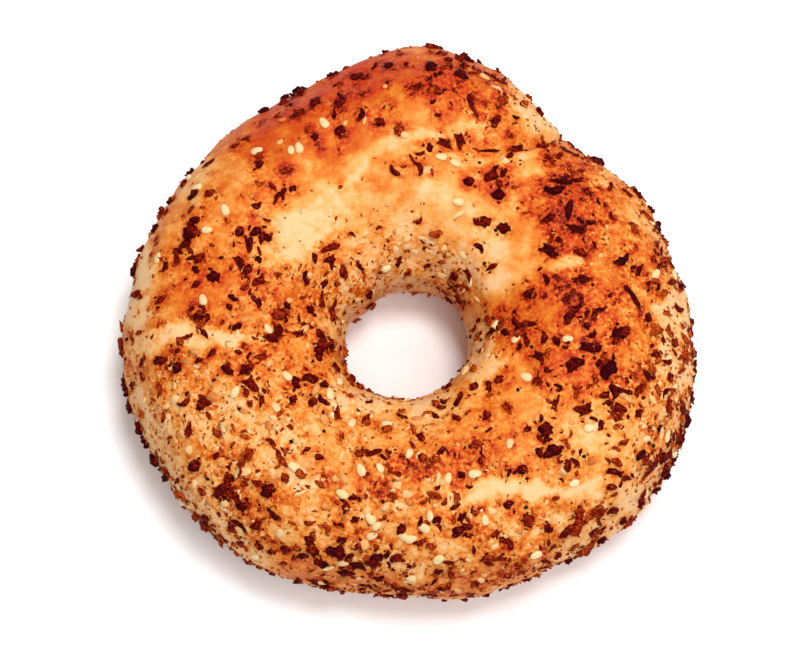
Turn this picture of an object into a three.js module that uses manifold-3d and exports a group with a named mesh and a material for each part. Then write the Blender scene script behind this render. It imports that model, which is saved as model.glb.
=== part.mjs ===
// A seeded "everything" bagel, lying on its flat base with the seeded side up.
// One solid: a hand-rolled ring of dough whose two ends overlap in a fold, with its larger toppings baked on.
// Millimetres, +Z up, +Y towards the overlap of the dough. The origin is the middle of the footprint, on the
// table.

import * as THREE from "three";
import { mergeVertices } from "three/addons/utils/BufferGeometryUtils.js";
import { MeshSurfaceSampler } from "three/addons/math/MeshSurfaceSampler.js";
import Module from "manifold-3d";

const wasm = await Module();
wasm.setup();

// ---- Driving sizes ----

const RIM_RADIUS = 59.2; // hole's centre to the rim, before the rim's swells
const HOLE_RADIUS = 13.7; // at the waist of the hole, before the hole's swells
const CROWN_HEIGHT = 38.5;
const RING_X = -0.3; // the hole's centre, measured from the middle of the footprint
const RING_Y = -5.0;

// How far the rim, the hole's wall and the crown swell out, each about one direction seen from above.
// at and spread are degrees, counted anticlockwise from +X, and grow is millimetres.
const RIM_SWELLS = [
  { at: 84, spread: 21, grow: 6.4 }, // the end of the dough, rolled over its start
  { at: 52, spread: 9, grow: -3.3 }, // the notch beside the overlap
  { at: 338, spread: 27, grow: 2.7 },
  { at: 300, spread: 15, grow: -1.6 },
  { at: 264, spread: 24, grow: -5.0 }, // the near side, rolled thinner
  { at: 222, spread: 18, grow: -1.4 },
  { at: 188, spread: 12, grow: 0.7 },
];
const HOLE_SWELLS = [
  { at: 92, spread: 36, grow: -2.3 },
  { at: 137, spread: 18, grow: -2.6 },
  { at: 184, spread: 18, grow: -1.0 },
  { at: 262, spread: 40, grow: 0.6 },
];
const CROWN_SWELLS = [
  { at: 88, spread: 26, grow: 1.6 },
  { at: 50, spread: 14, grow: -1.6 },
  { at: 262, spread: 34, grow: -1.8 },
  { at: 340, spread: 30, grow: 0.6 },
];

// The ring's cross-section: a superellipse, fuller below its waist, cut off flat where it lies on the table.
const WAIST_SHARE = 0.46; // height of the widest line, as a share of the crown's height
const CROWN_POWER = 2.15;
const FOOT_POWER = 2.3;
const FOOT_CUT = 2.2; // how much of the lower curve the table flattens

// The fold where the dough's end lies over its start: a valley that runs in from the notch and along the
// crown. Its start and end are degrees round the ring.
const FOLD = { start: 50, end: 150, depth: 1.7, halfWidth: 3.4 };
const FOLD_LEAD = 8; // degrees before its start over which it opens
const FOLD_OPEN = 2; // degrees past its start where it is open
const FOLD_FADE = 0.35; // share of its length after which it fades
const FOLD_CROWN_RADIUS = 40; // the valley's distance from the hole's centre where it meets the crown
const FOLD_DRIFT = 8; // how much nearer the hole it is at its end
const FOLD_PLUNGE = 20; // how far out of the crown it starts, at the notch
const FOLD_PLUNGE_SPREAD = 5; // degrees over which it comes in from the notch

// Uneven proving and baking: low swells, then smaller lumps.
const SWELL_WAVE = 21;
const SWELL_HEIGHT = 0.55;
const LUMP_WAVE = 9;
const LUMP_HEIGHT = 0.28;
const RELIEF_FROM = 0.5; // the relief grows between these heights above the table
const RELIEF_FULL = 6;
const WAVES = 7;
const GOLDEN_ANGLE = 2.399963; // radians
const GOLDEN_SHARE = 0.618034;

const STEPS_ROUND = 80;
const STEPS_ACROSS = 20;
const STEPS_FOOT = 1;

// Toppings, the largest first. Sizes are half lengths along, across and through the piece.
const TOPPINGS = [
  { kind: "onion", count: 78, along: 1.9, across: 1.25, through: 0.75, spacing: 5.0 },
  { kind: "sesame", count: 58, along: 1.5, across: 0.9, through: 0.6, spacing: 4.2 },
  { kind: "garlic", count: 66, along: 1.15, across: 0.95, through: 0.8, spacing: 3.6 },
];
const TOPPING_SINK = 0.2; // how far a piece's middle lies under the crust, as a share of its half thickness
const TOPPING_LOWEST = 3.5; // no topping is baked on below this height
const HOLE_CLEAR_RADIUS = 15.5; // nor on the hole's wall nearer the hole's centre than this,
const HOLE_CLEAR_SHARE = 0.75; // below this share of the crown's height
const TRIES_EACH = 60; // tries for a free place, for each piece

// How thickly the crust is seeded, from 0 to 1: everywhere, and what two directions, in degrees, and the lip
// of the hole, in millimetres from its centre, add to that.
const SEEDED_EVERYWHERE = 0.35;
const SEEDED_LEAST = 0.02;
const NEAR_LEFT = { at: 215, spread: 50, add: 0.5 };
const RIGHT = { at: 350, spread: 45, add: 0.4 };
const LIP = { at: 22, spread: 6, add: 0.3 };

const MERGE_MM = 1e-3;
const SEED = 7;

// ---- Small helpers ----

const smoothstep = THREE.MathUtils.smoothstep;

// Repeatable random numbers from 0 to 1 (mulberry32).
function randomFrom(seed) {
  let state = seed;
  return () => {
    state = (state + 0x6d2b79f5) | 0;
    let t = Math.imul(state ^ (state >>> 15), 1 | state);
    t = (t + Math.imul(t ^ (t >>> 7), 61 | t)) ^ t;
    return ((t ^ (t >>> 14)) >>> 0) / 4294967296;
  };
}

// The degrees from one direction to another, between -180 and 180.
function degreesBetween(from, to) {
  return ((((to - from + 180) % 360) + 360) % 360) - 180;
}

// A smooth bump, 1 in its middle.
function bump(away, spread) {
  return Math.exp(-((away / spread) ** 2));
}

function swellAt(swells, degrees) {
  return swells.reduce((sum, s) => sum + s.grow * bump(degreesBetween(s.at, degrees), s.spread), 0);
}

// Smooth uneven relief, about -1 to 1: sine waves in directions spread evenly over a sphere.
function unevenness(p, wave) {
  let sum = 0;
  for (let k = 0; k < WAVES; k++) {
    const up = 1 - (2 * k + 1) / WAVES;
    const turn = k * GOLDEN_ANGLE;
    const level = Math.sqrt(1 - up * up);
    const along = p.x * level * Math.cos(turn) + p.y * level * Math.sin(turn) + p.z * up;
    const stretch = 0.75 + 0.5 * ((k * GOLDEN_SHARE) % 1);
    sum += Math.sin((2 * Math.PI * along) / (wave * stretch) + 1.7 * k * k);
  }
  return sum / Math.sqrt(2 * WAVES);
}

// A three.js geometry with only positions, and one vertex at each place.
function welded(geometry) {
  geometry.deleteAttribute("normal");
  geometry.deleteAttribute("uv");
  return mergeVertices(geometry, MERGE_MM);
}

function solidOf(geometry) {
  return new wasm.Manifold(
    new wasm.Mesh({
      numProp: 3,
      vertProperties: new Float32Array(geometry.attributes.position.array),
      triVerts: new Uint32Array(geometry.index.array),
    }),
  );
}

function moveVertices(geometry, move) {
  const position = geometry.attributes.position;
  const p = new THREE.Vector3();
  for (let i = 0; i < position.count; i++) {
    p.fromBufferAttribute(position, i);
    move(p, i);
    position.setXYZ(i, p.x, p.y, p.z);
  }
  position.needsUpdate = true;
}

// ---- The dough ----

const MEAN_RADIUS = (RIM_RADIUS + HOLE_RADIUS) / 2;
const MEAN_HALF_WIDTH = (RIM_RADIUS - HOLE_RADIUS) / 2;
const WAIST_HEIGHT = WAIST_SHARE * CROWN_HEIGHT;

function superellipse(angle, power) {
  const share = (v) => Math.sign(v) * Math.abs(v) ** (2 / power);
  return [share(Math.cos(angle)), share(Math.sin(angle))];
}

// The mean cross-section, from the foot at the rim over the crown to the foot at the hole, and back under.
function sectionProfile() {
  const below = WAIST_HEIGHT + FOOT_CUT;
  const footAngle = Math.asin((WAIST_HEIGHT / below) ** (FOOT_POWER / 2));
  const points = [];
  for (let i = 0; i <= STEPS_ACROSS; i++) {
    const angle = -footAngle + (Math.PI + 2 * footAngle) * (i / STEPS_ACROSS);
    const [across, up] = superellipse(angle, Math.sin(angle) < 0 ? FOOT_POWER : CROWN_POWER);
    const height = WAIST_HEIGHT + up * (up < 0 ? below : CROWN_HEIGHT - WAIST_HEIGHT);
    points.push(new THREE.Vector2(MEAN_RADIUS + MEAN_HALF_WIDTH * across, Math.max(0, height)));
  }
  points[0].y = 0;
  points[STEPS_ACROSS].y = 0;
  const [first, last] = [points[0], points[STEPS_ACROSS]];
  for (let i = 1; i <= STEPS_FOOT; i++) {
    points.push(last.clone().lerp(first, i / STEPS_FOOT));
  }
  return points;
}

// The mean ring's point moved to the uneven ring: rim, hole and crown swell by direction.
function swellRing(p) {
  const direction = Math.atan2(p.y, p.x);
  const degrees = THREE.MathUtils.radToDeg(direction);
  const across = (Math.hypot(p.x, p.y) - MEAN_RADIUS) / MEAN_HALF_WIDTH;
  const rim = RIM_RADIUS + swellAt(RIM_SWELLS, degrees);
  const hole = HOLE_RADIUS + swellAt(HOLE_SWELLS, degrees);
  const radius = (rim + hole) / 2 + ((rim - hole) / 2) * across;
  const height = (p.z * (CROWN_HEIGHT + swellAt(CROWN_SWELLS, degrees))) / CROWN_HEIGHT;
  p.set(radius * Math.cos(direction), radius * Math.sin(direction), height);
}

// How deep the fold's valley is at a point of the ring.
function foldDepth(p) {
  const degrees = THREE.MathUtils.radToDeg(Math.atan2(p.y, p.x));
  const past = degrees - FOLD.start;
  const span = FOLD.end - FOLD.start;
  if (past < -FOLD_LEAD || past > span) return 0;
  const plunge = FOLD_PLUNGE * Math.exp(-Math.max(past, 0) / FOLD_PLUNGE_SPREAD);
  const seam = FOLD_CROWN_RADIUS - (FOLD_DRIFT * past) / span + plunge;
  const away = (Math.hypot(p.x, p.y) - seam) / (FOLD.halfWidth * (1 + past / span));
  const strength = smoothstep(past, -FOLD_LEAD, FOLD_OPEN) * (1 - smoothstep(past, FOLD_FADE * span, span));
  return FOLD.depth * strength * Math.exp(-away * away);
}

function relief(p) {
  const swells = SWELL_HEIGHT * unevenness(p, SWELL_WAVE);
  const lumps = LUMP_HEIGHT * unevenness(p, LUMP_WAVE);
  return smoothstep(p.z, RELIEF_FROM, RELIEF_FULL) * (swells + lumps - foldDepth(p));
}

function doughGeometry() {
  const lathe = new THREE.LatheGeometry(sectionProfile().reverse(), STEPS_ROUND);
  lathe.rotateX(Math.PI / 2);
  const ring = welded(lathe);
  moveVertices(ring, swellRing);
  ring.computeVertexNormals();
  const normal = new THREE.Vector3();
  moveVertices(ring, (p, i) => {
    normal.fromBufferAttribute(ring.attributes.normal, i);
    p.addScaledVector(normal, relief(p));
  });
  return ring;
}

// ---- The toppings ----

// How thickly the crust is seeded at a point of the ring, from 0 to 1: thin on the fold, thick round the hole
// and down the near left side and the right.
function seeding(p) {
  if (p.z < TOPPING_LOWEST) return 0;
  const radius = Math.hypot(p.x, p.y);
  if (radius < HOLE_CLEAR_RADIUS && p.z < HOLE_CLEAR_SHARE * CROWN_HEIGHT) return 0;
  const degrees = THREE.MathUtils.radToDeg(Math.atan2(p.y, p.x));
  const onFold = foldDepth(p) / FOLD.depth;
  const nearLeft = NEAR_LEFT.add * bump(degreesBetween(NEAR_LEFT.at, degrees), NEAR_LEFT.spread);
  const right = RIGHT.add * bump(degreesBetween(RIGHT.at, degrees), RIGHT.spread);
  const lip = LIP.add * bump(radius - LIP.at, LIP.spread);
  return THREE.MathUtils.clamp(SEEDED_EVERYWHERE + nearLeft + right + lip - onFold, SEEDED_LEAST, 1);
}

// A flat seed, pointed at one end.
function sesameGeometry() {
  const seed = welded(new THREE.SphereGeometry(1, 6, 3));
  moveVertices(seed, (p) => {
    const taper = 1 - 0.32 * p.y;
    p.set(p.y, p.x * taper, p.z * taper);
  });
  return seed;
}

// A curled, torn flake: a short drum whose edge is drawn in and out at random.
function onionGeometry(random) {
  const flake = welded(new THREE.CylinderGeometry(0.8, 1, 2, 6, 1));
  moveVertices(flake, (p) => {
    const pull = 0.75 + 0.5 * random();
    p.set(p.x * pull, p.z * pull, p.y * (0.8 + 0.4 * random()) + 0.5 * p.x * p.x - 0.25);
  });
  return flake;
}

// An angular crumb of dried garlic.
function garlicGeometry(random) {
  const crumb = welded(new THREE.OctahedronGeometry(1.15, 0));
  moveVertices(crumb, (p) => p.multiplyScalar(0.8 + 0.4 * random()));
  return crumb;
}

const SHAPES = { sesame: sesameGeometry, onion: onionGeometry, garlic: garlicGeometry };

// One piece of topping, pressed into the crust at a point and turned by a random angle about its normal.
function pressOn(geometry, size, point, normal, random) {
  const scale = 0.85 + 0.4 * random();
  const spin = new THREE.Quaternion().setFromAxisAngle(new THREE.Vector3(0, 0, 1), 2 * Math.PI * random());
  const lie = new THREE.Quaternion().setFromUnitVectors(new THREE.Vector3(0, 0, 1), normal);
  const place = point.clone().addScaledVector(normal, -TOPPING_SINK * size.through * scale);
  const lengths = new THREE.Vector3(size.along, size.across, size.through).multiplyScalar(scale);
  geometry.applyMatrix4(new THREE.Matrix4().compose(place, lie.multiply(spin), lengths));
  return solidOf(geometry);
}

// The solid, or where its faces point inwards the one that its geometry makes with them turned round.
function outward(solid, geometry) {
  if (solid.volume() > 0) return solid;
  const index = geometry.index.array;
  for (let i = 0; i < index.length; i += 3) [index[i + 1], index[i + 2]] = [index[i + 2], index[i + 1]];
  return solidOf(geometry);
}

function toppingSolids(dough) {
  const random = randomFrom(SEED);
  const position = dough.attributes.position;
  const weights = new Float32Array(position.count);
  const p = new THREE.Vector3();
  for (let i = 0; i < position.count; i++) {
    weights[i] = seeding(p.fromBufferAttribute(position, i));
  }
  dough.setAttribute("seeding", new THREE.BufferAttribute(weights, 1));
  const sampler = new MeshSurfaceSampler(new THREE.Mesh(dough)).setWeightAttribute("seeding");
  sampler.setRandomGenerator(random).build();

  const placed = [];
  const solids = [];
  const normal = new THREE.Vector3();
  for (const topping of TOPPINGS) {
    let left = topping.count;
    for (let tries = 0; left > 0 && tries < TRIES_EACH * topping.count; tries++) {
      sampler.sample(p, normal);
      const crowded = placed.some((o) => o.point.distanceTo(p) < (o.spacing + topping.spacing) / 2);
      if (crowded || seeding(p) < SEEDED_LEAST) continue;
      placed.push({ point: p.clone(), spacing: topping.spacing });
      const geometry = SHAPES[topping.kind](random);
      solids.push(outward(pressOn(geometry, topping, p, normal, random), geometry));
      left -= 1;
    }
  }
  return solids;
}

// ---- The bagel ----

function bagelGeometry() {
  const dough = doughGeometry();
  const joined = wasm.Manifold.union([outward(solidOf(dough), dough), ...toppingSolids(dough)]);
  const largest = joined.decompose().reduce((a, b) => (a.volume() > b.volume() ? a : b));
  const mesh = largest.getMesh();
  const geometry = new THREE.BufferGeometry();
  const places = new Float32Array(mesh.vertProperties);
  geometry.setAttribute("position", new THREE.BufferAttribute(places, mesh.numProp));
  geometry.setIndex(new THREE.BufferAttribute(new Uint32Array(mesh.triVerts), 1));
  geometry.computeVertexNormals();
  return geometry;
}

const crust = new THREE.MeshStandardMaterial({ color: 0xd99a55, roughness: 0.6, metalness: 0 });
const bagel = new THREE.Mesh(bagelGeometry(), crust);
bagel.name = "bagel";
bagel.position.set(RING_X, RING_Y, 0);

const part = new THREE.Group();
part.add(bagel);

export default part;
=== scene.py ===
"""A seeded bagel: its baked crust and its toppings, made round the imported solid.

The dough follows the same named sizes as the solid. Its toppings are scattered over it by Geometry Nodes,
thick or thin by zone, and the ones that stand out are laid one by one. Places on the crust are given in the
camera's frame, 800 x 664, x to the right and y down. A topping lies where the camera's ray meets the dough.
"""

import math
from functools import reduce

import bmesh
import bpy
import numpy as np
from bpy.props import FloatProperty, FloatVectorProperty, IntProperty, PointerProperty
from bpy.types import Operator, Panel, PropertyGroup
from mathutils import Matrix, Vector, noise
from mathutils.bvhtree import BVHTree
from mathutils.kdtree import KDTree


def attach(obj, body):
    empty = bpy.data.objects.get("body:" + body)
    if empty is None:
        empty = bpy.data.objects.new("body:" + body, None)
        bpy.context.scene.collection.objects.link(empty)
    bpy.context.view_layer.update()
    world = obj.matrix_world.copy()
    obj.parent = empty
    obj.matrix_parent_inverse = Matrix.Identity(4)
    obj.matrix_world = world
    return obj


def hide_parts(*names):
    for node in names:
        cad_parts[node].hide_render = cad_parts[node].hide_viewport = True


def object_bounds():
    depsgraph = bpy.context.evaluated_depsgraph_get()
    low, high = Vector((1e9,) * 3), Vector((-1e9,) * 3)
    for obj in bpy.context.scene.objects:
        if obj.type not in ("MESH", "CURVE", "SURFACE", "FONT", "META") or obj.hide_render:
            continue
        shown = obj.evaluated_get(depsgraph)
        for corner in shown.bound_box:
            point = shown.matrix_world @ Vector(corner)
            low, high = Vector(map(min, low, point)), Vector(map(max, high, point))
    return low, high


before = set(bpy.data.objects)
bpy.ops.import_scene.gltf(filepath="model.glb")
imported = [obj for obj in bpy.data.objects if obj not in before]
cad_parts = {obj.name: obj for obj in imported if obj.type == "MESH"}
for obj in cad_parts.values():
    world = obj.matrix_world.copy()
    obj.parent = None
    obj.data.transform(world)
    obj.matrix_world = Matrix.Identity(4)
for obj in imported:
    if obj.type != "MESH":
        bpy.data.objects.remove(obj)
CAD_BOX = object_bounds()

bl_info = {
    "name": "Seeded Bagel",
    "version": (1, 0, 0),
    "blender": (4, 5, 0),
    "location": "3D View > Sidebar > Bagel",
    "description": "Builds a baked bagel with toasted onion, garlic, sesame and poppy seed",
    "category": "Add Mesh",
}

MM = 0.001
NODE = "bagel"
BODY = "root"

# ---- The dough: sizes shared with the solid ----

RING_CENTRE = (-0.3 * MM, -5.0 * MM, 0.0)

# Swells of the rim, the hole's wall and the crown: direction and spread in degrees, growth in millimetres.
RIM_SWELLS = (
    (84, 21, 6.4),  # the end of the dough, rolled over its start
    (52, 9, -3.3),  # the notch beside the overlap
    (338, 27, 2.7),
    (300, 15, -1.6),
    (264, 24, -5.0),  # the near side, rolled thinner
    (222, 18, -1.4),
    (188, 12, 0.7),
)
HOLE_SWELLS = ((92, 36, -2.3), (137, 18, -2.6), (184, 18, -1.0), (262, 40, 0.6))
CROWN_SWELLS = ((88, 26, 1.6), (50, 14, -1.6), (262, 34, -1.8), (340, 30, 0.6))

# The fold where the dough's end lies over its start: a valley that runs in from the notch and along the
# crown. Angles are in degrees.
FOLD_START = 50.0
FOLD_END = 150.0
FOLD_LEAD = 8.0  # how far before its start it begins to deepen
FOLD_FULL = 2.0  # how far past its start it is full
FOLD_CROWN_RADIUS = 40 * MM
FOLD_DRIFT = 8 * MM
FOLD_PLUNGE = 20 * MM
FOLD_PLUNGE_SPREAD = 5.0
FOLD_HALF_WIDTH = 3.4 * MM
FOLD_FADE_FROM = 0.35  # of its length

# The relief of the dough, and the heights above the table between which it grows to its full depth.
SWELL_WAVE = 21 * MM
SWELL_HEIGHT = 0.55 * MM
LUMP_WAVE = 9 * MM
LUMP_HEIGHT = 0.28 * MM
RELIEF_FROM = 0.5 * MM
RELIEF_FULL = 6 * MM

ROWS = 172  # round the section
COLUMNS = 560  # round the ring
PROFILE_STEPS = 6000
FOOT_EDGE = 0.35 * MM  # how softly the lower wall turns into the foot
GOLDEN_ANGLE = 2.399963  # radians
GOLDEN_SHARE = 0.618034

# ---- Zones of the crust, in the camera's frame ----
# Each row is x, y, half width, half height, turn (degrees anticlockwise), value. A later zone covers an
# earlier one.

# How hard the crust is baked. It is cream, golden, orange, amber, russet and scorched at these values.
BAKE_STOPS = (0.0, 0.18, 0.38, 0.54, 0.76, 1.0)
BAKE_EVERYWHERE = 0.37
# A few zones are paled as painted light against shade, as noted where they stand.
BAKE_AND_SHADE_ZONES = (
    # upper left, evenly orange
    (250, 175, 70, 45, 35, 0.36), (190, 210, 50, 60, 60, 0.32), (196, 178, 28, 14, 50, 0.1),
    # the far rim, baked hardest
    (330, 92, 110, 36, 18, 0.6), (275, 122, 44, 18, 32, 0.62), (330, 100, 46, 20, 15, 0.66),
    (362, 74, 40, 16, 12, 0.74), (445, 82, 40, 17, -8, 0.62), (490, 78, 45, 16, -28, 0.5),
    (395, 104, 30, 7, 4, 0.42), (470, 112, 50, 14, -8, 0.42), (325, 146, 56, 22, 34, 0.5),
    # between the fold and the hole; the pale band on the hole's far wall is partly painted light against
    # its shade
    (405, 208, 80, 34, 4, 0.1), (412, 172, 58, 15, 16, 0.3), (384, 202, 24, 8, 10, 0.26),
    (415, 266, 84, 28, 0, 0.07), (470, 215, 44, 22, 0, 0.16),
    # the fold, stretched and pale
    (306, 224, 50, 30, 46, 0.0), (345, 181, 44, 8, 42, 0.05), (398, 140, 44, 7, 22, 0.07),
    (455, 128, 40, 6, 8, 0.1), (550, 124, 54, 18, -42, 0.02), (430, 155, 50, 9, 12, 0.34),
    (500, 163, 60, 6, -2, 0.06), (585, 158, 30, 5, -22, 0.1), (488, 178, 26, 18, 0, 0.46),
    (503, 262, 42, 38, 35, 0.03),
    # the right side: one hard-baked field, then a broad orange one
    (590, 250, 70, 110, 8, 0.41), (568, 205, 30, 56, 4, 0.6), (604, 192, 24, 32, 25, 0.46),
    (598, 182, 12, 6, 10, 0.16), (645, 215, 18, 46, 30, 0.2), (560, 262, 22, 9, 22, 0.2),
    (575, 305, 56, 26, 10, 0.52), (588, 352, 50, 36, 0, 0.44), (652, 310, 34, 60, 4, 0.36),
    (676, 350, 22, 90, 0, -0.05), (604, 438, 56, 38, -10, 0.13), (665, 430, 26, 50, 0, 0.2),
    # round the hole; the pale patch on its left wall is painted light against the wall's shade
    (516, 320, 36, 34, 0, 0.46), (480, 350, 22, 34, 0, 0.0), (320, 320, 34, 62, 0, 0.32),
    (345, 312, 18, 40, 8, 0.08), (352, 385, 26, 20, 0, 0.1), (400, 408, 70, 22, 0, 0.0),
    # the left side; the palest strip along its outline is partly painted light against its shade
    (190, 300, 56, 34, 8, 0.42), (250, 300, 34, 50, 8, 0.36), (136, 290, 16, 74, 8, -0.06),
    (190, 343, 76, 11, 2, 0.0), (175, 392, 60, 34, -14, 0.38),
    # the near side
    (245, 440, 90, 56, -12, 0.12), (215, 452, 34, 10, -14, 0.34), (395, 450, 74, 30, 0, 0.29),
    (430, 468, 34, 12, 0, 0.46), (490, 440, 40, 34, 0, 0.36), (290, 512, 70, 30, -16, 0.38),
    (430, 530, 150, 44, 0, 0.28), (400, 562, 60, 18, 0, 0.12), (300, 532, 30, 18, -30, 0.1),
    (306, 486, 16, 13, 0, 0.04), (384, 508, 30, 10, -10, 0.06), (458, 496, 30, 13, 0, 0.08),
    (430, 472, 20, 14, 0, 0.52), (334, 476, 14, 8, 0, 0.5), (374, 496, 7, 15, 0, 0.5),
    (540, 487, 96, 9, -1, 0.0), (508, 508, 44, 8, -6, 0.34), (545, 524, 46, 8, 14, 0.06),
    (590, 505, 20, 16, 40, 0.1),
    # the flanks on the near side
    (146, 436, 20, 56, 18, 0.0), (205, 522, 76, 24, -43, -0.06), (646, 494, 60, 22, 47, 0.0),
    (592, 546, 44, 18, 30, 0.02),
)  # fmt: skip

# How thickly each kind of topping lies, from 0 to 1.
FLAKES_EVERYWHERE = 0.36
FLAKE_ZONES = (
    (240, 180, 80, 70, 40, 0.06), (330, 95, 120, 40, 18, 0.22), (500, 140, 60, 40, -20, 0.36),
    (298, 222, 46, 30, 52, 0.01), (350, 165, 60, 18, 40, 0.03), (410, 138, 40, 12, 20, 0.05),
    (410, 205, 80, 36, 4, 0.05), (505, 262, 40, 40, 35, 0.06), (550, 124, 50, 17, -42, 0.02),
    (572, 205, 40, 60, 0, 0.5), (640, 250, 40, 80, 20, 0.4), (580, 340, 70, 60, 0, 0.6),
    (674, 412, 34, 94, 0, 1.0), (300, 330, 56, 80, 0, 0.5), (236, 270, 44, 60, 10, 0.32),
    (200, 290, 44, 34, 8, 0.4), (150, 280, 30, 50, 8, 0.25), (150, 375, 40, 36, 0, 0.9),
    (200, 345, 66, 9, 2, 0.1), (180, 395, 80, 44, -14, 0.5), (240, 440, 60, 26, -10, 0.3),
    (225, 492, 90, 46, -35, 1.0), (182, 452, 36, 26, -40, 0.15), (208, 548, 74, 16, -40, 0.3),
    (300, 440, 60, 34, 0, 0.45), (400, 480, 120, 70, 0, 0.55), (385, 440, 46, 26, 0, 0.25),
    (490, 450, 40, 26, 0, 0.8), (575, 440, 70, 40, 0, 1.0), (460, 550, 150, 34, 8, 0.65),
    (540, 487, 94, 9, -1, 0.03), (540, 523, 40, 8, 14, 0.1), (415, 280, 80, 22, 0, 0.6),
    (518, 320, 34, 50, 0, 0.95), (503, 262, 34, 36, 30, 0.03), (335, 560, 60, 22, -15, 1.0),
)  # fmt: skip

GRANULES_EVERYWHERE = 0.06
GRANULE_ZONES = (
    (300, 460, 190, 110, -14, 0.75), (200, 430, 90, 80, -20, 1.0), (400, 540, 180, 50, 0, 0.45),
    (410, 270, 90, 34, 0, 0.9), (330, 350, 34, 60, 0, 0.75), (480, 350, 26, 50, 0, 0.6),
    (270, 340, 60, 60, 0, 0.4), (665, 430, 34, 90, 0, 0.9), (500, 460, 60, 30, 0, 0.4),
    (590, 440, 50, 40, 0, 0.35), (540, 487, 94, 9, -1, 0.02), (298, 222, 46, 30, 52, 0.01),
    (503, 260, 34, 38, 30, 0.02),
)  # fmt: skip

CRUMBS_EVERYWHERE = 0.16
CRUMB_ZONES = (
    (298, 222, 48, 30, 52, 0.02), (360, 162, 60, 16, 36, 0.04), (420, 205, 62, 34, 8, 0.1),
    (550, 124, 50, 17, -42, 0.06), (625, 280, 60, 110, 0, 0.8), (665, 420, 34, 110, 0, 1.0),
    (500, 105, 50, 30, -20, 0.6), (572, 210, 34, 60, 0, 0.7), (310, 320, 60, 84, 0, 0.8),
    (250, 440, 150, 110, -20, 0.85), (190, 430, 80, 90, -20, 1.0), (440, 520, 160, 80, 0, 0.85),
    (410, 275, 90, 30, 0, 1.0), (508, 255, 38, 42, 35, 0.04), (195, 345, 76, 9, 2, 0.12),
    (540, 487, 94, 9, -1, 0.03),
)  # fmt: skip

SEEDS_EVERYWHERE = 0.3
SEED_ZONES = (
    (310, 450, 120, 110, 0, 0.8), (420, 530, 140, 60, 0, 1.0), (572, 230, 60, 90, 0, 0.04),
    (298, 226, 50, 34, 52, 0.04), (340, 90, 120, 36, 18, 0.05), (625, 330, 90, 90, 0, 0.02),
)  # fmt: skip

# ---- Toppings laid one by one, in the camera's frame ----

# Sesame seeds: x, y, turn in degrees anticlockwise.
PLACED_SEEDS = (
    (324, 123, 120), (257, 151, 10), (291, 150, 95), (299, 148, 110), (225, 210, 115), (207, 230, 0),
    (158, 258, 100), (203, 300, 105), (268, 329, 125), (287, 376, 125), (235, 392, 60), (330, 394, 90),
    (334, 414, 50), (352, 423, 60), (387, 424, 0), (294, 467, 150), (361, 470, 115), (380, 468, 120),
    (342, 494, 150), (377, 526, 45), (372, 536, 20), (411, 539, 10), (424, 528, 150), (430, 516, 95),
    (439, 559, 40), (411, 578, 175), (328, 567, 0), (475, 474, 5), (448, 478, 80), (485, 520, 100),
    (526, 377, 155), (568, 339, 0), (590, 428, 10), (667, 436, 85), (516, 339, 30), (441, 157, 170),
    (455, 163, 160), (458, 202, 170),
)  # fmt: skip

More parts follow.
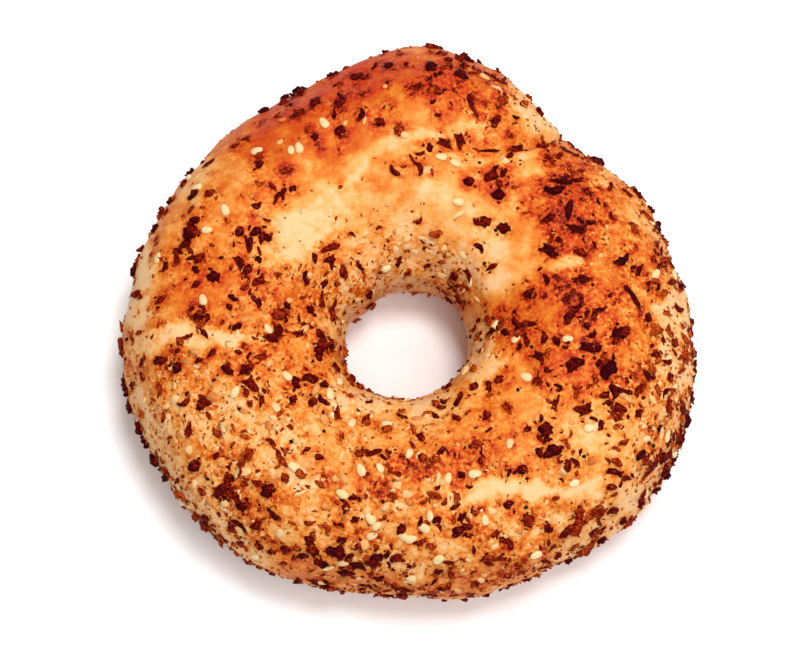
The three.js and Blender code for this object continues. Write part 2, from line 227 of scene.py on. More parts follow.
# The largest onion flakes: x, y, turn, length and width in millimetres, toast (0 brown, 1 black).
PLACED_FLAKES = (
    (498, 195, 10, 3.0, 2.6, 1.0), (490, 176, 20, 4.0, 2.2, 0.8), (504, 173, 60, 2.4, 1.6, 0.8),
    (554, 189, 0, 4.2, 1.8, 1.0), (569, 210, 80, 4.4, 2.0, 0.95), (578, 230, 0, 4.4, 2.2, 1.0),
    (548, 219, 25, 3.2, 1.8, 0.9), (549, 250, 150, 4.2, 2.2, 1.0), (431, 68, 100, 3.2, 3.0, 0.95),
    (461, 76, 170, 3.4, 2.4, 1.0), (389, 66, 0, 2.0, 1.8, 1.0), (331, 69, 30, 2.8, 2.0, 1.0),
    (299, 87, 10, 2.6, 2.0, 0.95), (264, 110, 20, 2.2, 1.6, 0.9), (214, 277, 10, 3.0, 2.2, 1.0),
    (186, 244, 30, 2.8, 1.8, 0.9), (608, 370, 60, 4.6, 3.4, 1.0), (620, 390, 165, 5.4, 2.0, 0.95),
    (619, 334, 20, 3.6, 2.4, 1.0), (587, 347, 170, 3.8, 2.0, 1.0), (570, 318, 60, 3.6, 2.6, 0.8),
    (539, 356, 150, 3.2, 1.8, 0.9), (571, 366, 85, 3.0, 2.2, 0.85), (553, 452, 20, 4.0, 3.2, 1.0),
    (546, 430, 80, 3.2, 2.6, 0.85), (685, 422, 10, 2.6, 1.8, 1.0), (332, 550, 160, 3.2, 2.0, 1.0),
    (473, 106, 100, 6.4, 1.2, 0.7), (571, 153, 12, 6.0, 1.2, 0.8), (489, 151, 0, 5.0, 0.8, 0.75),
    (632, 297, 125, 6.6, 1.5, 0.95), (621, 260, 35, 4.6, 1.8, 0.95), (633, 269, 60, 2.0, 1.2, 0.8),
    (374, 453, 20, 3.8, 1.3, 0.6), (614, 473, 165, 4.2, 1.4, 0.7), (355, 499, 170, 2.8, 1.2, 0.8),
    (496, 122, 60, 3.4, 2.4, 0.7), (516, 149, 20, 4.0, 2.0, 0.75), (543, 147, 30, 3.0, 2.2, 0.5),
    (485, 222, 15, 3.0, 2.0, 0.6), (504, 228, 170, 3.2, 2.0, 0.8), (492, 267, 25, 2.8, 1.3, 0.8),
    (581, 280, 5, 3.8, 1.8, 0.85), (604, 158, 45, 2.8, 1.8, 0.85), (460, 140, 110, 3.6, 2.0, 0.75),
    (444, 143, 160, 3.6, 1.8, 0.7), (420, 154, 20, 2.6, 1.2, 0.7), (413, 160, 120, 3.4, 0.9, 0.7),
    (584, 410, 20, 4.0, 2.2, 0.75), (620, 409, 150, 3.6, 2.0, 0.75), (459, 400, 95, 4.0, 1.8, 0.8),
    (421, 438, 120, 3.2, 1.6, 0.6), (487, 416, 60, 2.4, 1.8, 0.6), (458, 532, 45, 3.0, 2.6, 0.85),
    (565, 533, 20, 3.4, 2.2, 0.7), (548, 528, 150, 2.4, 1.8, 0.7), (613, 510, 160, 3.0, 1.8, 0.8),
    (626, 478, 165, 2.6, 1.4, 0.7), (640, 455, 40, 3.0, 2.0, 0.8), (664, 470, 20, 3.4, 2.2, 0.8),
    (650, 468, 20, 5.0, 2.6, 0.7), (662, 458, 40, 3.2, 2.2, 0.75), (178, 368, 60, 2.6, 2.0, 0.85),
    (206, 402, 140, 3.2, 1.8, 0.65), (268, 490, 40, 3.4, 2.4, 0.85), (319, 457, 170, 2.2, 1.5, 0.75),
    (339, 104, 60, 2.6, 1.8, 0.7), (361, 115, 80, 3.2, 1.4, 0.7), (340, 131, 60, 2.6, 2.2, 0.6),
    (315, 137, 90, 1.8, 1.4, 0.8), (380, 122, 150, 2.6, 1.6, 0.6), (415, 88, 160, 3.0, 1.4, 0.6),
    (299, 114, 40, 3.0, 2.0, 0.6), (357, 77, 20, 3.0, 2.0, 0.75), (278, 198, 60, 3.4, 1.2, 0.75),
    (250, 245, 85, 3.8, 1.6, 0.7), (240, 232, 60, 2.4, 1.8, 0.7), (262, 238, 80, 2.8, 1.6, 0.75),
    (178, 251, 170, 2.6, 1.4, 0.9), (192, 258, 10, 2.4, 1.2, 0.85), (166, 266, 95, 2.6, 1.4, 0.8),
    (196, 270, 130, 2.2, 1.5, 0.7), (258, 281, 20, 3.4, 1.8, 0.55), (161, 300, 30, 2.8, 1.6, 0.6),
    (136, 269, 45, 3.0, 2.2, 0.8), (372, 392, 90, 2.4, 1.4, 0.6), (332, 262, 90, 3.6, 1.2, 0.6),
    (296, 383, 110, 3.0, 2.0, 0.6), (320, 305, 70, 3.2, 1.6, 0.5), (276, 336, 30, 4.4, 2.0, 0.6),
    (322, 345, 20, 3.6, 3.0, 0.5), (250, 370, 60, 3.0, 1.8, 0.6), (641, 497, 60, 3.0, 2.0, 0.7),
    (655, 355, 20, 2.4, 1.8, 0.7), (648, 318, 60, 2.4, 1.6, 0.8), (604, 395, 30, 2.6, 1.6, 0.7),
    (522, 470, 20, 2.4, 1.8, 0.7), (508, 505, 20, 2.0, 1.6, 0.7), (437, 520, 30, 2.2, 1.6, 0.7),
    (273, 187, 130, 2.4, 1.2, 0.6), (284, 194, 80, 3.0, 1.2, 0.8), (293, 189, 40, 1.8, 1.4, 0.8),
    (256, 232, 40, 3.0, 2.0, 0.9), (268, 238, 20, 1.8, 1.6, 0.85), (258, 260, 0, 1.6, 1.6, 0.8),
    (240, 263, 120, 4.0, 2.0, 0.7), (247, 270, 60, 2.6, 2.0, 0.7), (233, 298, 150, 2.4, 1.4, 0.75),
    (256, 302, 120, 3.2, 1.4, 0.6), (278, 314, 30, 3.6, 2.8, 0.35), (299, 334, 20, 2.8, 1.4, 0.7),
    (278, 331, 70, 3.0, 2.0, 0.8), (270, 339, 10, 3.6, 2.0, 0.8), (329, 260, 0, 3.2, 1.4, 0.8),
    (344, 272, 110, 3.4, 2.2, 0.55), (330, 248, 15, 4.8, 1.6, 0.35), (310, 310, 50, 1.8, 1.8, 0.85),
    (322, 300, 120, 4.4, 1.6, 0.55), (334, 304, 70, 2.6, 1.2, 0.6), (320, 334, 160, 3.0, 2.0, 0.7),
    (331, 346, 50, 3.0, 2.2, 0.75), (318, 351, 10, 2.6, 2.0, 0.65), (262, 357, 30, 3.0, 1.6, 0.4),
    (243, 370, 80, 3.4, 1.6, 0.75), (252, 386, 125, 4.2, 2.0, 0.7), (262, 400, 100, 2.6, 1.2, 0.6),
    (310, 379, 0, 3.6, 2.2, 0.55), (324, 385, 30, 2.2, 1.8, 0.85), (293, 400, 60, 2.4, 1.4, 0.7),
    (313, 403, 40, 2.2, 1.8, 0.6), (399, 261, 85, 3.4, 1.4, 0.7), (354, 321, 15, 3.0, 1.4, 0.6),
    (469, 274, 140, 3.4, 1.8, 0.6), (479, 248, 135, 2.8, 1.2, 0.75), (460, 301, 10, 3.0, 1.6, 0.6),
    (436, 416, 120, 2.4, 1.4, 0.7), (474, 387, 60, 2.2, 1.8, 0.75), (469, 182, 20, 2.4, 1.8, 0.85),
    (209, 164, 40, 3.2, 1.6, 0.75), (194, 195, 40, 3.4, 2.0, 0.95), (210, 194, 30, 2.6, 1.8, 0.35),
    (194, 222, 20, 3.2, 2.4, 1.0), (191, 233, 40, 3.6, 3.0, 0.85), (260, 165, 80, 2.4, 1.8, 0.7),
    (256, 206, 0, 2.0, 1.4, 0.7), (346, 509, 80, 2.6, 1.8, 0.75), (355, 520, 20, 2.0, 1.6, 0.9),
    (401, 529, 70, 2.6, 2.0, 0.75), (356, 547, 20, 2.2, 1.6, 0.7), (377, 557, 30, 3.2, 2.2, 0.7),
    (356, 566, 170, 4.6, 1.8, 0.8), (342, 540, 20, 2.4, 1.4, 0.6), (223, 490, 30, 4.0, 2.8, 0.8),
    (240, 526, 130, 4.4, 1.4, 0.9), (242, 506, 30, 2.4, 2.0, 0.95), (256, 526, 20, 2.8, 2.0, 0.75),
    (276, 516, 150, 3.0, 1.8, 0.75), (286, 549, 0, 2.4, 1.6, 0.7), (206, 517, 40, 2.6, 2.0, 0.8),
    (195, 466, 30, 3.2, 2.2, 0.75), (366, 585, 10, 3.0, 1.6, 0.8), (400, 588, 0, 3.4, 1.6, 0.9),
    (272, 552, 20, 2.4, 1.6, 0.6), (532, 324, 170, 2.6, 1.3, 0.8), (545, 339, 60, 2.2, 1.6, 0.75),
    (557, 341, 120, 2.4, 1.4, 0.8), (592, 335, 40, 2.6, 1.4, 0.9), (566, 299, 10, 2.4, 1.2, 0.8),
    (600, 309, 15, 3.2, 1.0, 0.6), (587, 326, 100, 2.0, 1.4, 0.8), (205, 334, 130, 2.4, 1.2, 0.8),
    (207, 318, 60, 2.0, 1.4, 0.8), (199, 361, 20, 2.0, 1.6, 0.75), (228, 370, 150, 3.2, 2.0, 0.7),
    (160, 361, 10, 2.8, 2.2, 0.6), (123, 350, 90, 2.2, 1.4, 0.8), (322, 562, 170, 3.4, 2.2, 0.9),
    (303, 556, 20, 3.0, 1.8, 0.8), (345, 572, 0, 3.2, 2.0, 0.85), (310, 540, 60, 2.6, 1.8, 0.7),
)  # fmt: skip

# Torn pieces of the onion's layers: x, y, turn, share of the largest one's size, toast.
PLACED_LAYERS = ((584, 514, 0, 1.0, 0.12), (652, 464, 150, 0.7, 0.25), (228, 492, 205, 0.7, 0.4))

# Burnt lumps that stand out along the outline: x, y, length in millimetres, toast.
PLACED_LUMPS = (
    (605, 156, 3.2, 0.9), (687, 422, 3.2, 1.0), (667, 474, 3.0, 0.9), (296, 85, 2.8, 0.9),
    (601, 539, 2.6, 0.8), (283, 94, 2.4, 0.9), (188, 172, 2.6, 0.9), (658, 226, 2.4, 0.9),
    (151, 462, 3.2, 1.0), (655, 489, 2.6, 0.6), (262, 107, 2.4, 0.9), (123, 391, 3.0, 0.9),
    (126, 410, 3.0, 0.9), (140, 444, 3.0, 0.9), (164, 478, 3.0, 1.0), (127, 269, 2.8, 0.8),
    (638, 194, 2.6, 0.7), (586, 551, 2.6, 0.4), (650, 210, 2.2, 0.8), (693, 373, 2.4, 0.8),
    (156, 229, 2.4, 1.0), (673, 460, 2.6, 0.8), (134, 430, 3.0, 0.8), (172, 201, 2.4, 1.0),
    (185, 184, 2.2, 0.7), (640, 504, 2.4, 0.5), (622, 520, 2.4, 0.6), (570, 562, 2.4, 0.7),
    (681, 440, 2.4, 0.7), (690, 396, 2.2, 0.8),
)  # fmt: skip

# Pale shreds and granules of garlic: x, y, turn, length and width in millimetres, toast (1 is brown).
PLACED_SHREDS = (
    (424, 240, 150, 4.6, 1.3, 0.0), (458, 215, 35, 2.4, 1.2, 0.0), (405, 240, 60, 2.0, 1.4, 0.05),
    (460, 288, 10, 2.6, 2.0, 0.25), (396, 250, 100, 1.8, 1.3, 0.0), (487, 320, 150, 2.6, 2.0, 0.1),
    (443, 250, 60, 2.2, 1.2, 0.05), (410, 226, 20, 1.6, 1.2, 0.1), (438, 478, 80, 3.0, 1.4, 0.1),
    (334, 404, 100, 2.4, 1.6, 0.0), (298, 476, 20, 3.2, 2.4, 0.05), (470, 515, 60, 2.4, 1.2, 0.1),
    (242, 474, 10, 3.6, 2.8, 0.1), (304, 482, 60, 3.2, 2.6, 0.0), (300, 492, 20, 2.4, 1.8, 0.05),
    (164, 408, 30, 3.4, 2.4, 0.15), (177, 468, 70, 2.8, 2.2, 0.2), (222, 430, 110, 3.0, 1.6, 0.1),
    (218, 445, 80, 3.0, 1.4, 0.05), (305, 212, 0, 2.2, 2.0, 0.0), (283, 250, 20, 2.4, 1.8, 0.3),
    (324, 284, 20, 2.0, 1.8, 0.2), (361, 300, 20, 2.6, 2.0, 0.15), (290, 300, 0, 1.8, 1.4, 0.4),
    (664, 395, 60, 2.6, 2.2, 0.1), (677, 380, 80, 2.6, 2.0, 0.15), (677, 397, 20, 2.4, 2.0, 0.2),
    (653, 398, 100, 2.2, 1.8, 0.15), (666, 412, 30, 2.4, 1.8, 0.2), (662, 435, 90, 2.8, 1.6, 0.05),
    (234, 344, 30, 3.0, 2.0, 0.1), (167, 417, 80, 2.8, 1.6, 0.05), (302, 470, 60, 3.0, 2.4, 0.05),
    (396, 484, 150, 2.8, 1.6, 0.2), (412, 582, 20, 3.0, 1.8, 0.2),
)  # fmt: skip

# ---- Settings ----


def linear(*srgb):
    """An 8-bit sRGB colour as the linear colour that shaders take."""
    shares = [c / 255 for c in srgb]
    return tuple(c / 12.92 if c <= 0.04045 else ((c + 0.055) / 1.055) ** 2.4 for c in shares)


def length(name, description, millimetres):
    return FloatProperty(
        name=name, description=description, default=millimetres * MM, min=0.0, precision=5,
        subtype="DISTANCE", unit="LENGTH",
    )  # fmt: skip


def share(name, description, default):
    return FloatProperty(
        name=name, description=description, default=default, min=0.0, max=1.0, subtype="FACTOR"
    )


def amount(name, description, default):
    return FloatProperty(name=name, description=description, default=default, min=0.0)


def colour(name, description, *srgb):
    return FloatVectorProperty(
        name=name, description=description, default=linear(*srgb), min=0.0, max=1.0, size=3, subtype="COLOR"
    )


def seed(default):
    return IntProperty(name="Seed", description="Starts the random draws", default=default, min=0)


class BAGEL_PG_dough(PropertyGroup):
    """The ring of dough, before anything lies on it."""

    rim_radius: length("Rim radius", "From the hole's centre to the rim, before the swells", 59.2)
    hole_radius: length("Hole radius", "At the waist of the hole, before the swells", 13.7)
    crown_height: length("Crown height", "From the table to the top of the crust", 38.5)
    waist_share: share("Waist", "Height of the widest line, as a share of the crown's", 0.46)
    crown_power: amount("Crown fullness", "Superellipse power above the waist", 2.15)
    foot_power: amount("Foot fullness", "Superellipse power below the waist", 2.3)
    foot_cut: length("Foot cut", "How much of the lower curve the table flattens", 2.2)
    fold_depth: length("Fold depth", "Depth of the valley where the dough's end lies over its start", 1.7)
    grain_height: length("Grain height", "Height of the fine relief where the crust is thickly seeded", 0.2)
    skin_height: length("Skin height", "Height of the fine relief where the crust is smooth", 0.05)


class BAGEL_PG_crust(PropertyGroup):
    """The crust's colours, from its stretched bands to its scorched rim."""

    cream: colour("Cream", "Stretched dough that hardly browned", 228, 180, 128)
    golden: colour("Golden", "Lightly baked crust", 224, 155, 80)
    orange: colour("Orange", "Evenly baked crust", 212, 118, 38)
    amber: colour("Amber", "Well baked crust", 195, 88, 18)
    russet: colour("Russet", "Hard-baked crust", 184, 46, 10)
    scorched: colour("Scorched", "Crust at the edge of burning", 96, 18, 2)
    roughness: share("Roughness", "Of the baked skin", 0.55)
    gloss: share("Gloss", "How much the baked skin mirrors", 0.12)


class BAGEL_PG_onion(PropertyGroup):
    """Flakes of onion, toasted dark."""

    density: amount("Density", "Flakes on a square centimetre where they lie thickest", 60.0)
    spacing: length("Spacing", "Least distance between two flakes", 0.7)
    smallest: length("Smallest", "Half length of the smallest flake", 0.32)
    largest: length("Largest", "Half length of the largest flake", 1.6)
    caramel: colour("Caramel", "Hardly toasted flakes", 186, 80, 24)
    toasted: colour("Toasted", "Brown flakes", 148, 38, 8)
    dark: colour("Dark", "Well toasted flakes", 106, 10, 3)
    burnt: colour("Burnt", "The blackest flakes", 46, 3, 8)
    seed: seed(11)


class BAGEL_PG_garlic(PropertyGroup):
    """Angular granules of dried garlic, and a few shreds."""

    density: amount("Density", "Granules on a square centimetre where they lie thickest", 30.0)
    spacing: length("Spacing", "Least distance between two granules", 0.9)
    smallest: length("Smallest", "Half length of the smallest granule", 0.5)
    largest: length("Largest", "Half length of the largest granule", 1.7)
    pale: colour("Pale", "Granules that hardly browned", 228, 186, 130)
    tan: colour("Tan", "Baked granules", 220, 150, 80)
    brown: colour("Brown", "Toasted granules", 190, 98, 34)
    seed: seed(23)


class BAGEL_PG_crumbs(PropertyGroup):
    """Fine broken bits of the onion."""

    density: amount("Density", "Crumbs on a square centimetre where they lie thickest", 44.0)
    spacing: length("Spacing", "Least distance between two crumbs", 0.5)
    smallest: length("Smallest", "Half length of the smallest crumb", 0.34)
    largest: length("Largest", "Half length of the largest crumb", 0.65)
    light: colour("Light", "Brown crumbs", 188, 88, 26)
    dark: colour("Dark", "Dark crumbs", 124, 34, 8)
    seed: seed(37)


class BAGEL_PG_seeds(PropertyGroup):
    """Hulled sesame seeds, and poppy seed."""

    density: amount("Density", "Sesame seeds on a square centimetre where they lie thickest", 0.55)
    spacing: length("Spacing", "Least distance between two sesame seeds", 4.0)
    sesame_length: length("Sesame length", "Of one seed", 2.75)
    sesame_width: length("Sesame width", "Of one seed", 2.0)
    sesame_height: length("Sesame thickness", "Of one seed", 1.1)
    cream: colour("Cream", "Hulled sesame seed", 226, 200, 150)
    toasted: colour("Toasted", "Sesame seed that browned", 210, 158, 92)
    poppy_density: amount("Poppy density", "Seeds on a square centimetre where they lie thickest", 0.4)
    poppy_length: length("Poppy length", "Of one seed", 1.0)
    poppy: colour("Poppy", "Black poppy seed", 34, 20, 22)
    seed: seed(41)


class BAGEL_PG_stage(PropertyGroup):
    """Camera, floor and lights."""

    lens: FloatProperty(
        name="Lens", description="Focal length of the camera", default=100.0, min=1.0, unit="CAMERA"
    )
    elevation: FloatProperty(
        name="Elevation", description="Of the camera above the table", default=math.radians(72),
        subtype="ANGLE", unit="ROTATION",
    )  # fmt: skip
    distance: length("Distance", "From the camera to its target", 472)
    aim: FloatVectorProperty(
        name="Aim", description="What the camera looks at", default=(-1.3 * MM, -3.7 * MM, 19 * MM),
        subtype="TRANSLATION", unit="LENGTH",
    )  # fmt: skip
    floor_width: length("Floor width", "Of the pale floor", 4000)
    key_watts: amount("Key light", "Power of the large light behind the object", 1.6)
    top_watts: amount("Top light", "Power of the light overhead", 3.5)
    fill_watts: amount("Fill light", "Power of the light in front, on the near side", 2.0)
    sky: amount("Sky", "Strength of the even light from all round", 0.36)


class BAGEL_PG_settings(PropertyGroup):
    """All settings of the bagel."""

    dough: PointerProperty(type=BAGEL_PG_dough)
    crust: PointerProperty(type=BAGEL_PG_crust)
    onion: PointerProperty(type=BAGEL_PG_onion)
    garlic: PointerProperty(type=BAGEL_PG_garlic)
    crumbs: PointerProperty(type=BAGEL_PG_crumbs)
    seeds: PointerProperty(type=BAGEL_PG_seeds)
    stage: PointerProperty(type=BAGEL_PG_stage)


# ---- The camera's frame ----

FRAME_WIDTH = 800
FRAME_HEIGHT = 664
SENSOR_WIDTH = 36.0
PIXEL = 0.2125 * MM  # the size of a pixel of the frame, at the crown
MISS_STEPS = 24  # how often a ray that misses the dough is moved inwards, and how far each time
MISS_SHARE = 0.004


class View:
    """The camera's place and its frame, for finding a point's pixel and a pixel's ray."""

    def __init__(self, stage):
        self.back = Vector((0, -math.cos(stage.elevation), math.sin(stage.elevation)))
        self.up = Vector((0, math.sin(stage.elevation), math.cos(stage.elevation)))
        self.right = Vector((1, 0, 0))
        self.aim = Vector(stage.aim)
        self.distance = stage.distance
        self.focal = stage.lens / SENSOR_WIDTH * FRAME_WIDTH

    @property
    def place(self):
        return self.aim + self.back * self.distance

    def pixels(self, points):
        """x and y in the frame of an array of points."""
        away = points - np.array(self.aim)
        depth = self.distance - away @ np.array(self.back)
        x = FRAME_WIDTH / 2 + self.focal * (away @ np.array(self.right)) / depth
        y = FRAME_HEIGHT / 2 - self.focal * (away @ np.array(self.up)) / depth
        return x, y

    def ray(self, x, y):
        across = (x - FRAME_WIDTH / 2) / self.focal
        upward = (FRAME_HEIGHT / 2 - y) / self.focal
        return (self.right * across + self.up * upward - self.back).normalized()

    def meet(self, tree, x, y):
        """Where a pixel's ray meets the dough, moved towards the frame's middle where it just misses."""
        for _ in range(MISS_STEPS):
            place, normal, _, _ = tree.ray_cast(self.place, self.ray(x, y))
            if place:
                return place, normal
            x += (FRAME_WIDTH / 2 - x) * MISS_SHARE
            y += (FRAME_HEIGHT / 2 - y) * MISS_SHARE
        return None, None

    def direction(self, degrees):
        """A direction in the frame, anticlockwise from its right, as one in space."""
        turn = math.radians(degrees)
        return self.right * math.cos(turn) + self.up * math.sin(turn)


# ---- The dough's shape ----


def smoothstep(value, low, high):
    """0 to 1 as the value goes from low to high, eased at both ends."""
    t = np.clip((value - low) / (high - low), 0, 1)
    return t * t * (3 - 2 * t)


def degrees_between(start, end):
    """The turn from one direction to another, the short way round."""
    return (end - start + 180) % 360 - 180


def swell_at(swells, degrees):
    """How much the swells add in each direction."""
    away = [(degrees_between(at, degrees) / spread, grow) for at, spread, grow in swells]
    return sum(grow * MM * np.exp(-(spreads**2)) for spreads, grow in away)


WAVES = 7  # how many sine waves make up the uneven relief


def unevenness(points, wave):
    """Smooth uneven relief, about -1 to 1: sine waves in directions spread evenly over a sphere."""
    total = np.zeros(len(points))
    for k in range(WAVES):
        up = 1 - (2 * k + 1) / WAVES
        level = math.sqrt(1 - up * up)
        turn = k * GOLDEN_ANGLE
        along = points @ np.array((level * math.cos(turn), level * math.sin(turn), up))
        stretch = 0.75 + 0.5 * ((k * GOLDEN_SHARE) % 1)
        total += np.sin(2 * math.pi * along / (wave * stretch) + 1.7 * k * k)
    return total / math.sqrt(2 * WAVES)


def fold_depth(points, depth):
    """How deep the fold's valley is at each point of the ring."""
    past = np.degrees(np.arctan2(points[:, 1], points[:, 0])) - FOLD_START
    span = FOLD_END - FOLD_START
    plunge = FOLD_PLUNGE * np.exp(-np.maximum(past, 0) / FOLD_PLUNGE_SPREAD)
    seam = FOLD_CROWN_RADIUS - FOLD_DRIFT * past / span + plunge
    inside = (past >= -FOLD_LEAD) & (past <= span)
    widening = np.where(inside, 1 + past / span, 1)
    away = (np.hypot(points[:, 0], points[:, 1]) - seam) / (FOLD_HALF_WIDTH * widening)
    strength = smoothstep(past, -FOLD_LEAD, FOLD_FULL) * (1 - smoothstep(past, FOLD_FADE_FROM * span, span))
    return np.where(inside, depth * strength * np.exp(-away * away), 0)


def section_profile(dough):
    """The mean cross-section, closed: shares across and heights at even steps, starting under the foot."""
    waist = dough.waist_share * dough.crown_height
    below = waist + dough.foot_cut
    half_width = (dough.rim_radius - dough.hole_radius) / 2
    angle = -math.pi / 2 + 2 * math.pi * np.arange(PROFILE_STEPS + 1) / PROFILE_STEPS
    cos, sin = np.cos(angle), np.sin(angle)
    power = np.where(sin < 0, dough.foot_power, dough.crown_power)
    across = np.sign(cos) * np.abs(cos) ** (2 / power)
    up = np.sign(sin) * np.abs(sin) ** (2 / power)
    height = waist + up * np.where(up < 0, below, dough.crown_height - waist)
    height = (height + np.sqrt(height**2 + 4 * FOOT_EDGE**2)) / 2
    height -= height.min()
    steps = np.hypot(np.diff(across * half_width), np.diff(height))
    walked = np.concatenate([[0], np.cumsum(steps)])
    even = walked[-1] * np.arange(ROWS) / ROWS
    return np.interp(even, walked, across), np.interp(even, walked, height)


def grid_normals(grid):
    """The direction that the ring's surface faces at each point of the grid."""
    round_ring = np.roll(grid, -1, 1) - np.roll(grid, 1, 1)
    round_section = np.roll(grid, -1, 0) - np.roll(grid, 1, 0)
    normals = np.cross(round_ring, round_section)
    return normals / np.linalg.norm(normals, axis=2, keepdims=True)


def dough_grid(dough):
    """The smooth uneven ring, rows round the section by columns round the ring, about the hole's centre."""
    across, height = section_profile(dough)
    direction = 2 * math.pi * np.arange(COLUMNS) / COLUMNS
    degrees = np.degrees(direction)
    rim = dough.rim_radius + swell_at(RIM_SWELLS, degrees)
    hole = dough.hole_radius + swell_at(HOLE_SWELLS, degrees)
    radius = (rim + hole) / 2 + (rim - hole) / 2 * across[:, None]
    rise = (dough.crown_height + swell_at(CROWN_SWELLS, degrees)) / dough.crown_height
    grid = np.stack([radius * np.cos(direction), radius * np.sin(direction), height[:, None] * rise], 2)
    flat = grid.reshape(-1, 3)
    relief = SWELL_HEIGHT * unevenness(flat, SWELL_WAVE) + LUMP_HEIGHT * unevenness(flat, LUMP_WAVE)
    relief -= fold_depth(flat, dough.fold_depth)
    relief *= smoothstep(flat[:, 2], RELIEF_FROM, RELIEF_FULL)
    return grid + grid_normals(grid) * relief.reshape(ROWS, COLUMNS, 1)


# ---- Zones ----

# How the edges of the zones wander, coarsely and finely: how far, over what distance, and where the noise
# starts along the first axis and how much later along each next one.
WARPS = ((3.0 * MM, 7 * MM, 3.1, 17.3), (1.0 * MM, 2.2 * MM, 5.7, 11.9))


def fractal(points, size, octaves, shift=0.0):
    """Rough noise, about -1 to 1, with features of one size."""
    move = Vector((shift, shift, shift))
    return np.array([noise.fractal(Vector(p) / size + move, 0.9, 2.0, octaves) for p in points])


def wandering(points):
    """The points moved about a little, so that what is looked up there has ragged edges."""
    moved = points.copy()
    for axis in range(3):
        for reach, size, shift, apart in WARPS:
            moved[:, axis] += reach * fractal(points, size, 2, shift + apart * axis)
    return moved


ZONE_SOFTNESS = 0.45  # how much of a zone's half width its edge takes up, inwards and outwards


def zone_weight(x, y, at_x, at_y, half_width, half_height, turn):
    """1 inside an elongated zone and 0 outside, with a soft edge."""
    cos, sin = math.cos(math.radians(turn)), math.sin(math.radians(turn))
    along = ((x - at_x) * cos - (y - at_y) * sin) / half_width
    across = ((x - at_x) * sin + (y - at_y) * cos) / half_height
    return 1 - smoothstep(np.hypot(along, across), 1 - ZONE_SOFTNESS, 1 + ZONE_SOFTNESS)


def zoned(x, y, everywhere, zones):
    """A value at each place: one that holds everywhere, covered by each zone's own in turn."""
    value = np.full(len(x), float(everywhere))
    for *zone, goal in zones:
        value += zone_weight(x, y, *zone) * (goal - value)
    return value


# ---- Meshes and nodes ----


def mesh_from(name, points, faces):
    mesh = bpy.data.meshes.new(name)
    mesh.from_pydata([tuple(p) for p in points], [], faces)
    mesh.validate()
    mesh.update()
    return mesh


def object_from(name, mesh, context):
    obj = bpy.data.objects.new(name, mesh)
    context.scene.collection.objects.link(obj)
    return obj


def set_attribute(mesh, name, values, kind="FLOAT"):
    attribute = mesh.attributes.get(name) or mesh.attributes.new(name, kind, "POINT")
    field = "vector" if kind == "FLOAT_VECTOR" else "value"
    number = np.int32 if kind == "INT" else np.float32
    attribute.data.foreach_set(field, np.asarray(values, dtype=number).ravel())


def get_points(mesh):
    points = np.empty(len(mesh.vertices) * 3, dtype=np.float32)
    mesh.vertices.foreach_get("co", points)
    return points.reshape(-1, 3).astype(float)


def set_points(mesh, points):
    mesh.vertices.foreach_set("co", np.asarray(points, dtype=np.float32).ravel())
    mesh.update()


EDGE_EASE = 0.3 * MM  # how softly points are drawn in at the box's sides


def kept_inside(points):
    """The points, drawn in smoothly where they would pass the solid's box, and none below the table."""
    low, high = (np.array(corner) for corner in CAD_BOX)
    drawn = high - EDGE_EASE * np.logaddexp(0, (high - points) / EDGE_EASE)
    drawn[:, :2] = low[:2] + EDGE_EASE * np.logaddexp(0, (drawn[:, :2] - low[:2]) / EDGE_EASE)
    drawn[:, 2] = np.maximum(drawn[:, 2], low[2])
    return drawn


def add_node(tree, kind, values=None, **settings):
    """A node with its settings, its inputs given as values or linked from other nodes' outputs."""
    made = tree.nodes.new(kind)
    for key, value in settings.items():
        setattr(made, key, value)
    for key, value in (values or {}).items():
        if isinstance(value, bpy.types.NodeSocket):
            tree.links.new(value, made.inputs[key])
        else:
            made.inputs[key].default_value = value
    return made


def noise_node(tree, place, size, detail, roughness):
    values = {"Vector": place, "Scale": 1 / size, "Detail": detail, "Roughness": roughness}
    return add_node(tree, "ShaderNodeTexNoise", values).outputs["Fac"]


def maths(tree, operation, first, second, clamp=False):
    values = {0: first, 1: second}
    return add_node(tree, "ShaderNodeMath", values, operation=operation, use_clamp=clamp).outputs[0]


def added(tree, *parts):
    return reduce(lambda total, part: maths(tree, "ADD", total, part), parts)


def multiplied(tree, *parts):
    return reduce(lambda total, part: maths(tree, "MULTIPLY", total, part), parts)


def ramp(tree, factor, stops):
    """A colour ramp through (position, colour) stops, in their order."""
    made = add_node(tree, "ShaderNodeValToRGB", {"Fac": factor})
    elements = made.color_ramp.elements
    for position, _ in stops[2:]:
        elements.new(position)
    for element, (position, rgb) in zip(elements, stops, strict=True):
        element.position = position
        element.color = (*rgb, 1.0)
    return made.outputs["Color"]


def new_material(name, roughness, gloss):
    """A material, its shader and its object coordinates."""
    material = bpy.data.materials.new(name)
    material.use_nodes = True
    tree = material.node_tree
    shader = tree.nodes["Principled BSDF"]
    shader.inputs["Roughness"].default_value = roughness
    shader.inputs["Specular IOR Level"].default_value = gloss
    place = add_node(tree, "ShaderNodeTexCoord").outputs["Object"]
    return material, tree, shader, place


def bump_into(tree, shader, height, distance, strength):
    values = {"Height": height, "Distance": distance, "Strength": strength}
    tree.links.new(add_node(tree, "ShaderNodeBump", values).outputs["Normal"], shader.inputs["Normal"])


def attribute_node(tree, name):
    return add_node(tree, "ShaderNodeAttribute", attribute_name=name).outputs["Fac"]


# ---- Materials ----


def varied(tree, place, size, detail, amount):
    """Noise about zero."""
    centred = maths(tree, "SUBTRACT", noise_node(tree, place, size, detail, 0.6), 0.5)
    return multiplied(tree, centred, amount)


def blotches(tree, place, size, start, edge):
    """Blotches, 0 to 1: they start where the noise passes a value, and are full one edge higher."""
    past = maths(tree, "SUBTRACT", noise_node(tree, place, size, 3, 0.6), start)
    return maths(tree, "DIVIDE", past, edge, clamp=True)


